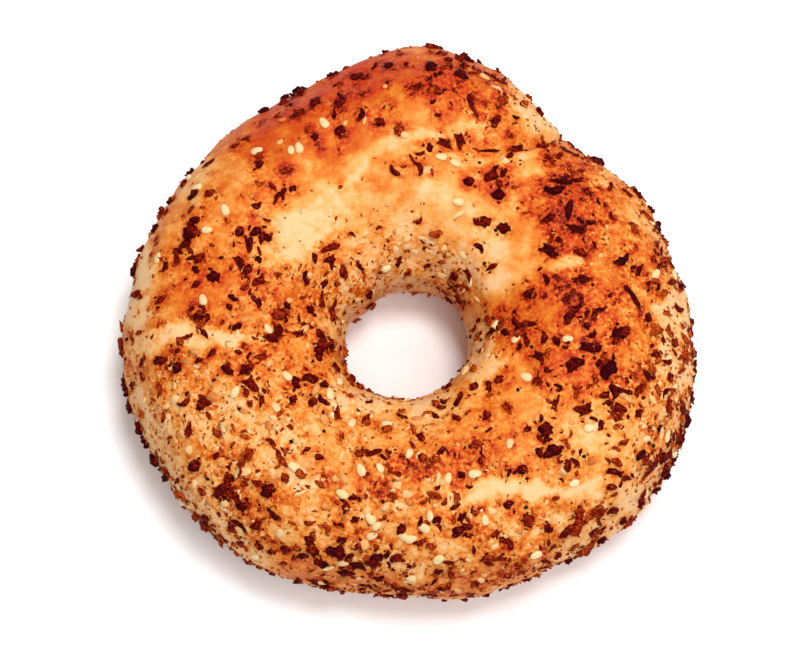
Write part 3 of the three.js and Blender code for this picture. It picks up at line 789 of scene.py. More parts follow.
def crust_material(crust):
    """Baked dough: coloured by how hard it baked and by painted shade and light, blotched under toppings,
    stained round the onion, with painted glints.
    """
    material, tree, shader, place = new_material("Baked crust", crust.roughness, crust.gloss)
    bake = attribute_node(tree, "bake")
    sandy = attribute_node(tree, "sandy")
    mottling = varied(tree, place, 3.6 * MM, 4, 0.62)
    patches = multiplied(tree, varied(tree, place, 1.8 * MM, 2, 1.0), sandy)
    stains = multiplied(tree, blotches(tree, place, 1.7 * MM, 0.53, 0.1), sandy, 0.3)
    ragged = added(tree, blotches(tree, place, 0.9 * MM, 0.45, 0.12), 0.3)
    halo = multiplied(tree, attribute_node(tree, "halo"), ragged)
    specks = multiplied(tree, varied(tree, place, 0.5 * MM, 3, 0.6), sandy)
    # Pale flecks where the crust is sandy and baked: partly pale crust, partly painted glints on its
    # wrinkles.
    pale_flecks_and_glints = multiplied(tree, blotches(tree, place, 0.55 * MM, 0.57, 0.08), sandy, bake, -1.2)
    browning_and_glints = added(tree, bake, mottling, patches, stains, halo, specks, pale_flecks_and_glints)
    colours = (crust.cream, crust.golden, crust.orange, crust.amber, crust.russet, crust.scorched)
    stops = tuple(zip(BAKE_STOPS, colours, strict=True))
    tree.links.new(ramp(tree, browning_and_glints, stops), shader.inputs["Base Color"])
    rough = added(tree, multiplied(tree, sandy, 0.9), 0.25)
    grain = multiplied(tree, noise_node(tree, place, 0.7 * MM, 4, 0.65), rough)
    bump_into(tree, shader, grain, distance=0.45 * MM, strength=0.9)
    shader.inputs["Subsurface Weight"].default_value = 0.1
    shader.inputs["Subsurface Radius"].default_value = (1.0, 0.45, 0.2)
    shader.inputs["Subsurface Scale"].default_value = 1.0 * MM
    return material


def topping_material(
    name, stops, roughness, gloss, grain=0.35 * MM, depth=0.12 * MM, core_tone=0.0, grit_and_glints=0.4
):
    """One kind of topping: its own tone, mottled, gritty (on the onion also painted glints), perhaps darker
    in its core, and a grainy skin.
    """
    material, tree, shader, place = new_material(name, roughness, gloss)
    tone = added(
        tree,
        attribute_node(tree, "tone"),
        varied(tree, place, 0.9 * MM, 3, 0.6),
        varied(tree, place, 0.3 * MM, 2, grit_and_glints),
        multiplied(tree, attribute_node(tree, "core"), core_tone),
    )
    tree.links.new(ramp(tree, tone, stops), shader.inputs["Base Color"])
    bump_into(tree, shader, noise_node(tree, place, grain, 3, 0.6), depth, strength=0.8)
    return material


# ---- Shapes of the toppings, each about one unit from its middle to its end ----


def seeded(number):
    """Random draws that are the same each time."""
    return np.random.default_rng(number)


def steps_round(count):
    """The steps round a ring of points: the number of each point and of the next."""
    return [(k, (k + 1) % count) for k in range(count)]


CHIP_POWER = 0.7  # below 1, a flake's outline is squarer than an ellipse
CHIP_SHRINK = 0.66  # how broad its two faces are next to its edge


def flake_mesh(name, random, narrow, thick, curl, bend, ragged, corners=9):
    """A torn, toasted flake: two rough faces that meet in a ragged edge, curled up or bent sideways."""
    turn = 2 * math.pi * (np.arange(corners) + random.uniform(-0.4, 0.4, corners)) / corners
    outline = np.stack([np.cos(turn), np.sin(turn)], 1)
    outline = np.sign(outline) * np.abs(outline) ** CHIP_POWER
    edge = outline * (1, narrow) * (1 + ragged * random.uniform(-1, 0.7, (corners, 1)))

    def ring(shrink, height, rough):
        level = height + rough * random.uniform(-1, 1, corners)
        drawn = shrink * (1 + 0.2 * random.uniform(-1, 1, corners))
        return np.column_stack([edge * drawn[:, None], level])

    # Each ring has its breadth, how high it lies and how rough it is.
    upper = ring(CHIP_SHRINK, 0.7 * thick, 0.5 * thick)
    middle = ring(1, 0, 0.5 * thick)
    lower = ring(CHIP_SHRINK, -0.6 * thick, 0.3 * thick)
    points = np.vstack([upper, middle, lower, [[0, 0, 0.6 * thick], [0, 0, -0.6 * thick]]])
    points[:, 2] += curl * (points[:, 0] ** 2 - 0.25)
    points[:, 1] += bend * (points[:, 0] ** 2 - 0.25)
    top, bottom = 3 * corners, 3 * corners + 1
    faces = []
    for k, after in steps_round(corners):
        faces.append((k, after, top))
        for near, far in ((0, corners), (corners, 2 * corners)):
            faces.append((near + k, far + k, far + after, near + after))
        faces.append((2 * corners + after, 2 * corners + k, bottom))
    mesh = mesh_from(name, points, faces)
    mesh.shade_smooth()
    core = np.where(np.arange(len(points)) // corners == 1, 0.0, random.uniform(0.3, 1.3, len(points)))
    set_attribute(mesh, "core", core)
    return mesh


# A torn layer of onion: half its length, how far it reaches between its arms, and the arms it is torn into,
# by direction and spread in degrees and length in millimetres.
LAYER_LENGTH = 6.7 * MM
LAYER_REACH = 2.3 * MM
LAYER_ARMS = ((233, 34, 3.9), (7, 30, 4.4), (98, 24, 0.8))
LAYER_THICKNESS = 0.3 * MM
LAYER_WRINKLES = ((1.6 * MM, 1.1 * MM), (0.8 * MM, 0.5 * MM))  # size and height
LAYER_CURVE = 24 * MM  # the radius it is bent to, to lie on the crust


def layer_mesh(name, random, rings=9, around=44):
    """A torn piece of an onion's layer, shrivelled onto the crust; its height is in millimetres."""
    degrees = 360 * np.arange(around) / around
    reach = (LAYER_REACH + swell_at(LAYER_ARMS, degrees)) * (1 + 0.16 * random.uniform(-1, 1, around))
    out = np.arange(1, rings + 1)[:, None] / rings * reach
    turn = np.radians(degrees)
    top = np.stack([out * np.cos(turn), out * np.sin(turn), 0 * out], 2).reshape(-1, 3)
    top = np.vstack([[[0, 0, 0]], top])
    rise = sum(height * fractal(top, size, 2, size / MM) for size, height in LAYER_WRINKLES)
    top[:, 2] = rise - (top[:, 0] ** 2 + top[:, 1] ** 2) / (2 * LAYER_CURVE)
    count = len(top)
    rim = count - around
    faces = []
    for k, after in steps_round(around):
        faces.append((0, 1 + k, 1 + after))
        for near in range(1, rim, around):
            far = near + around
            faces.append((near + k, far + k, far + after, near + after))
    faces += [tuple(count + corner for corner in reversed(face)) for face in faces]
    for k, after in steps_round(around):
        faces.append((rim + k, count + rim + k, count + rim + after, rim + after))
    points = np.vstack([top, top - (0, 0, LAYER_THICKNESS)]) / (LAYER_LENGTH, LAYER_LENGTH, MM)
    mesh = mesh_from(name, points, faces)
    mesh.shade_smooth()
    set_attribute(mesh, "core", random.uniform(0.0, 1.2, 2 * count))
    return mesh


GRANULE_POWER = 8  # the higher it is, the more a granule is like a block


def granule_mesh(name, random, corners, flatness, narrow):
    """An angular broken granule: the hull of a few points, squarer than an ellipsoid."""
    points = random.normal(size=(corners, 3))
    points /= (abs(points) ** GRANULE_POWER).sum(axis=1, keepdims=True) ** (1 / GRANULE_POWER)
    points *= random.uniform(0.7, 1.05, (corners, 1)) * np.array((1, narrow, flatness))
    shape = bmesh.new()
    for p in points:
        shape.verts.new(p)
    hull = bmesh.ops.convex_hull(shape, input=shape.verts)
    loose = {v for v in hull["geom_interior"] + hull["geom_unused"] if isinstance(v, bmesh.types.BMVert)}
    bmesh.ops.delete(shape, geom=list(loose), context="VERTS")
    bmesh.ops.recalc_face_normals(shape, faces=shape.faces)
    mesh = bpy.data.meshes.new(name)
    shape.to_mesh(mesh)
    shape.free()
    mesh.shade_smooth()
    return mesh


def spindle_mesh(name, rings, around, radius_at):
    """A closed smooth form along X, from -1 to 1, whose radius is given at each ring and step round it."""
    points = [(-1, 0, 0)]
    for i in range(1, rings):
        x = -math.cos(math.pi * i / rings)
        for k in range(around):
            turn = 2 * math.pi * k / around
            radius = math.sin(math.pi * i / rings) ** 0.85 * radius_at(x)
            points.append((x, radius * math.cos(turn), radius * math.sin(turn)))
    points.append((1, 0, 0))
    last = 1 + (rings - 2) * around
    faces = []
    for k, after in steps_round(around):
        faces.append((0, 1 + after, 1 + k))
        for low in range(1, last, around):
            high = low + around
            faces.append((low + k, low + after, high + after, high + k))
        faces.append((last + k, last + after, len(points) - 1))
    mesh = mesh_from(name, points, faces)
    mesh.shade_smooth()
    return mesh


def seed_mesh(name, pointed, rings=7, around=10):
    """A seed, blunt at one end and more or less pointed at the other, one unit across at its broadest."""
    broadest = 1 - 0.35 * pointed  # the greatest radius, which lies towards the blunt end
    return spindle_mesh(name, rings, around, lambda x: (1 - pointed * 0.5 * (1 + x)) / broadest)


STRAIGHT = 0.05  # radians, below which a shred isn't bent


def shred_mesh(name, random, thick, bend, lift, knobbly, rings=6, around=5):
    """A knobbly shred, shrivelled and bent: sideways by an angle in radians, and up at its ends."""
    mesh = spindle_mesh(name, rings, around, lambda x: thick * (1 + knobbly * random.uniform(-1, 1)))
    points = get_points(mesh)
    inner = np.arange(len(points)) % (len(points) - 1) > 0
    points[inner] += 0.3 * knobbly * thick * random.uniform(-1, 1, (inner.sum(), 3))
    if abs(bend) > STRAIGHT:
        angle = points[:, 0] * bend
        reach = 1 / bend - points[:, 1]
        points[:, 0] = reach * np.sin(angle)
        points[:, 1] = 1 / bend - reach * np.cos(angle)
        points[:, 1] -= points[:, 1].mean()
        points /= max(abs(points[:, 0]).max(), 0.6)
    points[:, 2] += lift * (points[:, 0] ** 2 - 0.25)
    set_points(mesh, points)
    set_attribute(mesh, "core", np.where(inner, random.uniform(0.2, 1.4, len(points)), 0))
    return mesh


def collection_of(name, meshes):
    """The shapes that a topping is picked from, kept out of the scene."""
    collection = bpy.data.collections.new(name)
    for mesh in meshes:
        collection.objects.link(bpy.data.objects.new(mesh.name, mesh))
    return collection


# ---- The scatter ----

SCATTER = "Scatter toppings"

# What the scatter is given, by the kind of socket.
SCATTER_INPUTS = {
    "Object": ("Surface",),
    "Collection": ("Shapes",),
    "String": ("Coverage",),
    "Int": ("Kinds", "Seed"),
    "Float": ("Density", "Spacing", "Tilt", "Sink", "Lightest", "Darkest", "Darkening"),
    "Vector": ("Smallest", "Largest"),
    "Material": ("Material",),
}
# What each point says of the topping on it: its own up and along, its half size and tone, and which shape.
POINT_SAYS = {name: "FLOAT_VECTOR" for name in ("up", "along", "size")} | {"tone": "FLOAT", "kind": "INT"}
SMALL_ONES = 1.6  # the power that makes small ones more common than large ones
PLAIN_BAKE = 0.4  # where the crust is baked harder than this, the toppings are darker too
PER_SQUARE_CM = 1e4  # turns a count on a square centimetre into one on a square metre


def scatter_tree():
    """Scatters shapes on a surface where an attribute is high, and lays more on the points it is given."""
    tree = bpy.data.node_groups.new(SCATTER, "GeometryNodeTree")
    for way in ("INPUT", "OUTPUT"):
        tree.interface.new_socket("Geometry", in_out=way, socket_type="NodeSocketGeometry")
    for kind, labels in SCATTER_INPUTS.items():
        for label in labels:
            tree.interface.new_socket(label, in_out="INPUT", socket_type="NodeSocket" + kind)
    given = add_node(tree, "NodeGroupInput").outputs

    def named(name, kind):
        made = add_node(tree, "GeometryNodeInputNamedAttribute", {"Name": name}, data_type=kind)
        return made.outputs["Attribute"]

    def drawn(kind, low, high, step):
        """A random value between two others at each point; each step has draws of its own."""
        values = {"Min": low, "Max": high, "Seed": added(tree, given["Seed"], step)}
        return add_node(tree, "FunctionNodeRandomValue", values, data_type=kind).outputs["Value"]

    def vector(operation, values):
        return add_node(tree, "ShaderNodeVectorMath", values, operation=operation).outputs["Vector"]

    surface = add_node(tree, "GeometryNodeObjectInfo", {"Object": given["Surface"]}).outputs["Geometry"]
    values = {
        "Mesh": surface,
        "Distance Min": given["Spacing"],
        "Density Max": given["Density"],
        "Density Factor": named(given["Coverage"], "FLOAT"),
        "Seed": given["Seed"],
    }
    spread = add_node(tree, "GeometryNodeDistributePointsOnFaces", values, distribute_method="POISSON")
    lean = vector("SCALE", {0: drawn("FLOAT_VECTOR", (-1, -1, -1), (1, 1, 1), 1), "Scale": given["Tilt"]})
    grown = maths(tree, "POWER", drawn("FLOAT", 0.0, 1.0, 3), SMALL_ONES)
    values = {"Factor": grown, "A": given["Smallest"], "B": given["Largest"]}
    size = add_node(tree, "ShaderNodeMix", values, data_type="VECTOR").outputs["Result"]
    baked = maths(tree, "SUBTRACT", named("bake", "FLOAT"), PLAIN_BAKE)
    tone = drawn("FLOAT", given["Lightest"], given["Darkest"], 4)
    said = {
        "up": vector("ADD", {0: spread.outputs["Normal"], 1: lean}),
        "along": drawn("FLOAT_VECTOR", (-1, -1, -1), (1, 1, 1), 2),
        "size": size,
        "tone": added(tree, tone, multiplied(tree, baked, given["Darkening"])),
        "kind": drawn("INT", 0, maths(tree, "SUBTRACT", given["Kinds"], 1), 5),
    }
    points = spread.outputs["Points"]
    for name, kind in POINT_SAYS.items():
        values = {"Geometry": points, "Name": name, "Value": said[name]}
        stored = add_node(tree, "GeometryNodeStoreNamedAttribute", values, data_type=kind, domain="POINT")
        points = stored.outputs["Geometry"]

    laid = add_node(tree, "GeometryNodeMeshToPoints", {"Mesh": given["Geometry"]}).outputs["Points"]
    joined = add_node(tree, "GeometryNodeJoinGeometry")
    for part in (points, laid):
        tree.links.new(part, joined.inputs["Geometry"])

    up, along, size, _, kind = (named(name, kind) for name, kind in POINT_SAYS.items())
    thickness = add_node(tree, "ShaderNodeSeparateXYZ", {"Vector": size}).outputs["Z"]
    sunk = vector("SCALE", {0: up, "Scale": multiplied(tree, thickness, given["Sink"], -1.0)})
    settled = add_node(tree, "GeometryNodeSetPosition", {"Geometry": joined.outputs[0], "Offset": sunk})
    axes = {"primary_axis": "Z", "secondary_axis": "X"}
    turned = add_node(tree, "FunctionNodeAxesToRotation", {0: up, 1: along}, **axes)
    values = {"Collection": given["Shapes"], "Separate Children": True, "Reset Children": True}
    shapes = add_node(tree, "GeometryNodeCollectionInfo", values)
    values = {
        "Points": settled.outputs["Geometry"],
        "Instance": shapes.outputs[0],
        "Pick Instance": True,
        "Instance Index": kind,
        "Rotation": turned.outputs["Rotation"],
        "Scale": size,
    }
    placed = add_node(tree, "GeometryNodeInstanceOnPoints", values)
    real = add_node(tree, "GeometryNodeRealizeInstances", {"Geometry": placed.outputs["Instances"]})
    values = {"Geometry": real.outputs["Geometry"], "Material": given["Material"]}
    dressed = add_node(tree, "GeometryNodeSetMaterial", values)
    add_node(tree, "NodeGroupOutput", {"Geometry": dressed.outputs["Geometry"]})
    return tree


def laid_points(context, laid):
    """A point for each topping laid one by one, where the camera's ray meets the dough."""
    dough = context.scene.objects["crust"]
    tree = BVHTree.FromObject(dough, context.evaluated_depsgraph_get())
    view = View(context.scene.bagel.stage)
    rows = []
    for x, y, turn, size, tone, kind in laid:
        place, normal = view.meet(tree, x, y)
        if place:
            rows.append((place, normal, view.direction(turn), size, tone, kind))
    places, *columns = zip(*rows, strict=True) if rows else [()] * (1 + len(POINT_SAYS))
    mesh = mesh_from("laid", places, [])
    for (name, kind), values in zip(POINT_SAYS.items(), columns, strict=True):
        set_attribute(mesh, name, values, kind)
    return mesh


def scatter(context, name, slot, settings, shapes, laid=(), **inputs):
    """Runs the scatter over the crust and keeps its result as one plain piece."""
    holder = object_from(name + "_points", laid_points(context, laid), context)
    modifier = holder.modifiers.new("Scatter", "NODES")
    modifier.node_group = bpy.data.node_groups.get(SCATTER) or scatter_tree()
    inputs = {
        "surface": context.scene.objects["crust"],
        "shapes": collection_of(name + " shapes", shapes),
        "kinds": len(shapes),
        "density": settings.density,
        "spacing": settings.spacing,
        "seed": settings.seed,
        **inputs,
    }
    inputs["density"] *= PER_SQUARE_CM
    for item in modifier.node_group.interface.items_tree:
        if item.in_out == "INPUT" and item.name != "Geometry":
            modifier[item.identifier] = inputs.pop(item.name.lower())
    if inputs:
        raise KeyError(f"the scatter has no inputs named {sorted(inputs)}")
    graph = context.evaluated_depsgraph_get()
    mesh = bpy.data.meshes.new_from_object(holder.evaluated_get(graph))
    bpy.data.objects.remove(holder)
    mesh.name = name
    for spare in ("up", "along", "size", "kind", "bake", "sandy"):
        if spare in mesh.attributes:
            mesh.attributes.remove(mesh.attributes[spare])
    set_points(mesh, kept_inside(get_points(mesh)))
    piece = object_from(name, mesh, context)
    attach(piece, BODY)
    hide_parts(NODE)


# ---- Operators ----

# The lights' places and widths, in metres.
LIGHTS = {
    "key": ((0.14, 0.42, 0.62), 0.35),
    "top": ((0.1, 0.03, 0.75), 0.2),
    "fill": ((0.16, -0.3, 0.6), 0.35),
}
PALE = 0.96  # how much light the floor throws back


class BAGEL_OT_stage(Operator):
    """Sets the floor, the lights and the camera"""

    bl_idname = "bagel.stage"
    bl_label = "Stage"

    def execute(self, context):
        stage = context.scene.bagel.stage
        self.floor(context, stage)
        self.lights(context, stage)
        self.camera(context, stage)
        return {"FINISHED"}

    def floor(self, context, stage):
        half = stage.floor_width / 2
        corners = [(-half, -half, 0), (half, -half, 0), (half, half, 0), (-half, half, 0)]
        floor = object_from("floor", mesh_from("floor", corners, [(0, 1, 2, 3)]), context)
        material, _, shader, _ = new_material("Pale floor", 0.8, 0.1)
        shader.inputs["Base Color"].default_value = (PALE, PALE, PALE, 1)
        floor.data.materials.append(material)

    def lights(self, context, stage):
        for name, (place, width) in LIGHTS.items():
            self.area(context, name, getattr(stage, name + "_watts"), place, width)
        world = bpy.data.worlds.new("Studio")
        world.use_nodes = True
        background = world.node_tree.nodes["Background"]
        background.inputs["Color"].default_value = (1, 1, 1, 1)
        background.inputs["Strength"].default_value = stage.sky
        context.scene.world = world
        context.scene.view_settings.view_transform = "Standard"

    def area(self, context, name, watts, place, width):
        light = bpy.data.lights.new(name, "AREA")
        light.energy = watts
        light.size = width
        lamp = object_from(name, light, context)
        lamp.location = place
        lamp.rotation_euler = (-Vector(place)).to_track_quat("-Z", "Y").to_euler()

    def camera(self, context, stage):
        view = View(stage)
        data = bpy.data.cameras.new("camera")
        data.lens = stage.lens
        data.sensor_width = SENSOR_WIDTH
        camera = object_from("camera", data, context)
        camera.location = view.place
        camera.rotation_euler = (-view.back).to_track_quat("-Z", "Y").to_euler()
        context.scene.camera = camera


# The heights above the table between which the crust changes from what it is below to what it is above.
FOOT = (3 * MM, 11 * MM)  # browned below, and darker there as painted contact shadow
FLANK = (5 * MM, 20 * MM)  # pale below
THIN = (3 * MM, 13 * MM)  # toppings lie thinner below
BARE = (0.5 * MM, 4 * MM)  # no toppings but crumbs below
CLEAR = (0.8 * MM, 2.5 * MM)  # no crumbs below
HOLE_WALL = (14 * MM, 25 * MM)  # toppings lie thinner below, inside the hole
HOLE_LIP = (0.62, 0.5)  # the hole starts at one share of the rim's radius and is full at the other

# How hard the crust bakes of itself: a level, how much and over what distance it varies, the noise's start.
BAKE_PATCHES = (0.0, 0.08, 5 * MM, 21.0)
FLANK_BAKE = (0.04, 0.22, 7 * MM, 33.0)
# The foot is browned, and darker still as painted contact shadow where it meets the table.
FOOT_BAKE_AND_SHADOW = (0.62, 0.16, 6 * MM, 45.0)
BAKE_LEAST = -0.08

# How toppings gather: over what distance, the noise's start, and its values where they are thin and thick.
CLUMPS = (4.5 * MM, 55.0, -0.3, 0.35)
DRIFTS = (4 * MM, 67.0, -0.4, 0.3)

# The fine relief: the sizes of its grains and of their swells, and how far it lies below the smooth dough,
# in its own heights.
GRAIN_SIZE = 1.5 * MM
GRAIN_SWELL = 3.4 * MM
GRAIN_SINK = 0.8


def patchy(points, level, depth, size, start):
    """A level that varies in patches."""
    return level + depth * fractal(points, size, 3, start)


def gathered(points, size, start, thin, thick):
    """0 to 1, in heaps."""
    return smoothstep(fractal(points, size, 3, start), thin, thick)


def crust_zones(points, settings):
    """How hard the crust baked at each point, with painted shade and light, how sandy it is and how thickly
    each topping lies.
    """
    x, y = View(settings.stage).pixels(wandering(points))
    height = points[:, 2]
    radius = np.hypot(*(points[:, :2] - np.array(RING_CENTRE[:2])).T)
    inner = smoothstep(radius, *(settings.dough.rim_radius * lip for lip in HOLE_LIP))
    hole = 1 - 0.7 * inner * (1 - smoothstep(height, *HOLE_WALL))
    bake = zoned(x, y, BAKE_EVERYWHERE, BAKE_AND_SHADE_ZONES) + patchy(points, *BAKE_PATCHES)
    bake += (1 - smoothstep(height, *FLANK)) * (patchy(points, *FLANK_BAKE) - bake)
    # Painted contact shadow: near the table the crust takes the foot's darker bake.
    bake += (1 - smoothstep(height, *FOOT)) * (patchy(points, *FOOT_BAKE_AND_SHADOW) - bake)
    thin = 1 - 0.6 * (1 - smoothstep(height, *THIN))
    bare = smoothstep(height, *BARE)
    clear = smoothstep(height, *CLEAR)
    clump = gathered(points, *CLUMPS)
    drift = gathered(points, *DRIFTS)
    flakes = zoned(x, y, FLAKES_EVERYWHERE, FLAKE_ZONES) * (0.15 + 0.85 * clump) * thin * bare
    granules = zoned(x, y, GRANULES_EVERYWHERE, GRANULE_ZONES) * (0.3 + 0.7 * drift) * thin * bare
    crumbs = zoned(x, y, CRUMBS_EVERYWHERE, CRUMB_ZONES) * (0.5 + 0.5 * clump) * thin
    seeds = zoned(x, y, SEEDS_EVERYWHERE, SEED_ZONES) * thin * bare
    return {
        "bake": np.clip(bake, BAKE_LEAST, 1),
        "sandy": np.clip(0.12 + 0.7 * crumbs, 0, 1),
        "flakes": np.clip(flakes * hole, 0, 1),
        "granules": np.clip(granules * hole, 0, 1),
        "crumbs": np.clip(crumbs * hole * clear, 0, 1),
        "seeds": np.clip(seeds * hole, 0, 1),
    }


class BAGEL_OT_crust(Operator):
    """Makes the ring of dough, with how hard it baked, painted shade and light, and how thickly each
    topping lies on it
    """

    bl_idname = "bagel.crust"
    bl_label = "Crust"

    def execute(self, context):
        settings = context.scene.bagel
        grid = dough_grid(settings.dough)
        points = grid.reshape(-1, 3) + np.array(RING_CENTRE)
        normals = grid_normals(grid).reshape(-1, 3)
        zones = crust_zones(points, settings)
        depth = zones["sandy"] * settings.dough.grain_height + settings.dough.skin_height
        grains = fractal(points, GRAIN_SIZE, 2) + 0.6 * fractal(points, GRAIN_SWELL, 2, 9.0)
        relief = depth * (grains - GRAIN_SINK) * smoothstep(points[:, 2], 0, RELIEF_FULL)
        points = kept_inside(points + normals * relief[:, None])
        faces = []
        for row, after in steps_round(ROWS):
            near, far = row * COLUMNS, after * COLUMNS
            faces += [(near + j, near + k, far + k, far + j) for j, k in steps_round(COLUMNS)]
        mesh = mesh_from("crust", points, faces)
        for name, values in zones.items():
            set_attribute(mesh, name, values)
        mesh.shade_smooth()
        mesh.materials.append(crust_material(settings.crust))
        crust = object_from("crust", mesh, context)
        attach(crust, BODY)
        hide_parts(NODE)
        return {"FINISHED"}


# The kinds of the onion's shapes: how broad for its length a flake has to be for one, how broad the kind
# itself is, and how many shapes it has.
LUMPS, CHIPS, SHREDS = 6, 5, 7
ONION_KINDS = ((0.58, 0.65, LUMPS), (0.45, 0.56, CHIPS), (0.0, 0.4, SHREDS))

# The bits that broke off a flake: for how many millimetres of its length there is one, how far from its
# middle they lie, in its half lengths, and how large they are next to its width.
BIT_EVERY = 1.2
BIT_REACH = (0.7, 1.5)
BIT_SIZES = (0.25, 0.55)


def onion_shapes(random):
    """The shapes that the onion is scattered in, named in their order; the last one is a torn layer."""
    shapes = []
    for k in range(LUMPS):
        form = {"thick": 0.62, "bend": random.uniform(-0.6, 0.6), "lift": 0.1, "knobbly": 0.45}
        shapes.append(shred_mesh(f"a_lump_{k}", random, **form, rings=7, around=6))
    for k in range(CHIPS):
        form = {"narrow": 0.56, "thick": 0.42, "curl": random.uniform(-0.1, 0.3)}
        shapes.append(flake_mesh(f"b_chip_{k}", random, **form, bend=0.2, ragged=0.35))
    for k in range(SHREDS):
        form = {"thick": 0.34, "bend": random.uniform(-1.4, 1.4), "lift": 0.3, "knobbly": 0.35}
        shapes.append(shred_mesh(f"c_shred_{k}", random, **form))
    return [*shapes, layer_mesh("d_layer", random)]


def sized(size, *shares):
    """One size as three, each with its share of it."""
    return tuple(size * part for part in shares)


def fitting_shape(breadth, random):
    """Which shape suits a flake that is so broad for its length, and how broad that shape itself is."""
    first = 0
    for least, own, count in ONION_KINDS:
        if breadth > least:
            return first + int(random.integers(count)), own
        first += count
    raise ValueError("a flake has no breadth")


def edge_lump(lump, random):
    """A lump as thick as it is broad, on the dough's outline."""
    x, y, long, tone = lump
    kind = int(random.integers(LUMPS))
    half = sized(long * MM / 2, 1, 0.85, 1)
    return x, y, random.uniform(0, 360), half, 0.8 * tone - 0.1, kind


def broken_flake(flake, random):
    """A large flake of a shape that suits it, and the smaller bits round it.

    Each tone is set a little below the toast that it shows, because the core darkens it.
    """
    x, y, turn, long, wide, tone = flake
    kind, breadth = fitting_shape(wide / long, random)
    half = (0.5 * long * MM, 0.5 * wide / breadth * MM, 0.5 * wide * MM)
    pieces = [(x, y, turn, half, 0.74 * tone - 0.12, kind)]
    for _ in range(int(long / BIT_EVERY)):
        way = random.uniform(0, 2 * math.pi)
        reach = 0.5 * MM / PIXEL * random.uniform(*BIT_REACH)
        small = 0.5 * wide * MM * random.uniform(*BIT_SIZES)
        at = (x + long * reach * math.cos(way), y + long * reach * math.sin(way))
        bit_tone = 0.8 * tone - random.uniform(0, 0.45)
        bit = int(random.integers(LUMPS + CHIPS))
        pieces.append((*at, random.uniform(0, 360), sized(small, 1, 1, 0.8), bit_tone, bit))
    return pieces


class BAGEL_OT_onion(Operator):
    """Bakes on the toasted onion: torn flakes, curled shreds and burnt lumps"""

    bl_idname = "bagel.onion"
    bl_label = "Onion"

    def execute(self, context):
        onion = context.scene.bagel.onion
        random = seeded(onion.seed)
        shapes = onion_shapes(random)
        last = len(shapes) - 1
        laid = [piece for flake in PLACED_FLAKES for piece in broken_flake(flake, random)]
        laid += [edge_lump(lump, random) for lump in PLACED_LUMPS]
        for x, y, turn, scale, tone in PLACED_LAYERS:
            laid.append((x, y, turn, sized(scale, LAYER_LENGTH, LAYER_LENGTH, MM), tone, last))
        stops = ((0.0, onion.caramel), (0.3, onion.toasted), (0.6, onion.dark), (1.0, onion.burnt))
        # The onion's strong grit paints light specks on its flakes that stand partly for glints.
        skin = {"grain": 0.45 * MM, "depth": 0.5 * MM, "core_tone": 0.5, "grit_and_glints": 2.4}
        material = topping_material("Toasted onion", stops, roughness=0.45, gloss=0.02, **skin)
        scatter(
            context, "onion", "onion", onion, shapes, laid,
            kinds=last, coverage="flakes",
            smallest=sized(onion.smallest, 1, 1, 0.8), largest=sized(onion.largest, 1, 1, 0.8),
            tilt=0.5, sink=-0.2, lightest=-0.1, darkest=0.6, darkening=0.5, material=material,
        )  # fmt: skip
        return {"FINISHED"}


GRANULES = 12  # how many shapes the garlic has
SHRED_HALVES = (0.65, 0.75, 0.4)  # half its length, width and thickness, next to its length and its width


class BAGEL_OT_garlic(Operator):
    """Bakes on the garlic: tan to cream granules, and a few pale shreds"""

    bl_idname = "bagel.garlic"
    bl_label = "Garlic"

    def execute(self, context):
        garlic = context.scene.bagel.garlic
        random = seeded(garlic.seed)
        shapes = []
        for k in range(GRANULES):
            form = {"flatness": random.uniform(0.45, 0.7), "narrow": random.uniform(0.6, 0.9)}
            shapes.append(granule_mesh(f"granule_{k}", random, corners=20, **form))
        laid = []
        for x, y, turn, long, wide, tone in PLACED_SHREDS:
            full = (long, wide, wide)
            half = tuple(part * size * MM for part, size in zip(SHRED_HALVES, full, strict=True))
            laid.append((x, y, turn, half, tone, int(random.integers(GRANULES))))
        stops = ((0.0, garlic.pale), (0.5, garlic.tan), (1.0, garlic.brown))
        skin = {"grain": 0.5 * MM, "depth": 0.35 * MM}
        material = topping_material("Dried garlic", stops, roughness=0.55, gloss=0.15, **skin)
        scatter(
            context, "garlic", "garlic", garlic, shapes, laid, coverage="granules",
            smallest=sized(garlic.smallest, 1, 1, 0.8), largest=sized(garlic.largest, 1, 1, 0.7),
            tilt=0.45, sink=0.35, lightest=0.15, darkest=1.1, darkening=0.7, material=material,
        )  # fmt: skip
        return {"FINISHED"}


CRUMBS = 8  # how many shapes the crumbs have


class BAGEL_OT_crumbs(Operator):
    """Dusts the crust with fine crumbs of the onion"""

    bl_idname = "bagel.crumbs"
    bl_label = "Crumbs"

    def execute(self, context):
        crumbs = context.scene.bagel.crumbs
        random = seeded(crumbs.seed)
        form = {"corners": 8, "flatness": 0.7, "narrow": 0.7}
        shapes = [granule_mesh(f"crumb_{k}", random, **form) for k in range(CRUMBS)]
        stops = ((0.0, crumbs.light), (1.0, crumbs.dark))
        material = topping_material("Onion crumbs", stops, roughness=0.6, gloss=0.0)
        scatter(
            context, "onion_crumbs", "onion", crumbs, shapes, coverage="crumbs",
            smallest=sized(crumbs.smallest, 1, 1, 0.8), largest=sized(crumbs.largest, 1, 0.8, 0.7),
            tilt=0.3, sink=-0.2, lightest=-0.2, darkest=0.9, darkening=0.7, material=material,
        )  # fmt: skip
        return {"FINISHED"}


SEED_SIZES = (0.8, 1.05)  # the smallest and the largest sesame seed next to a plain one
SEED_TOAST = 0.35  # of those laid one by one
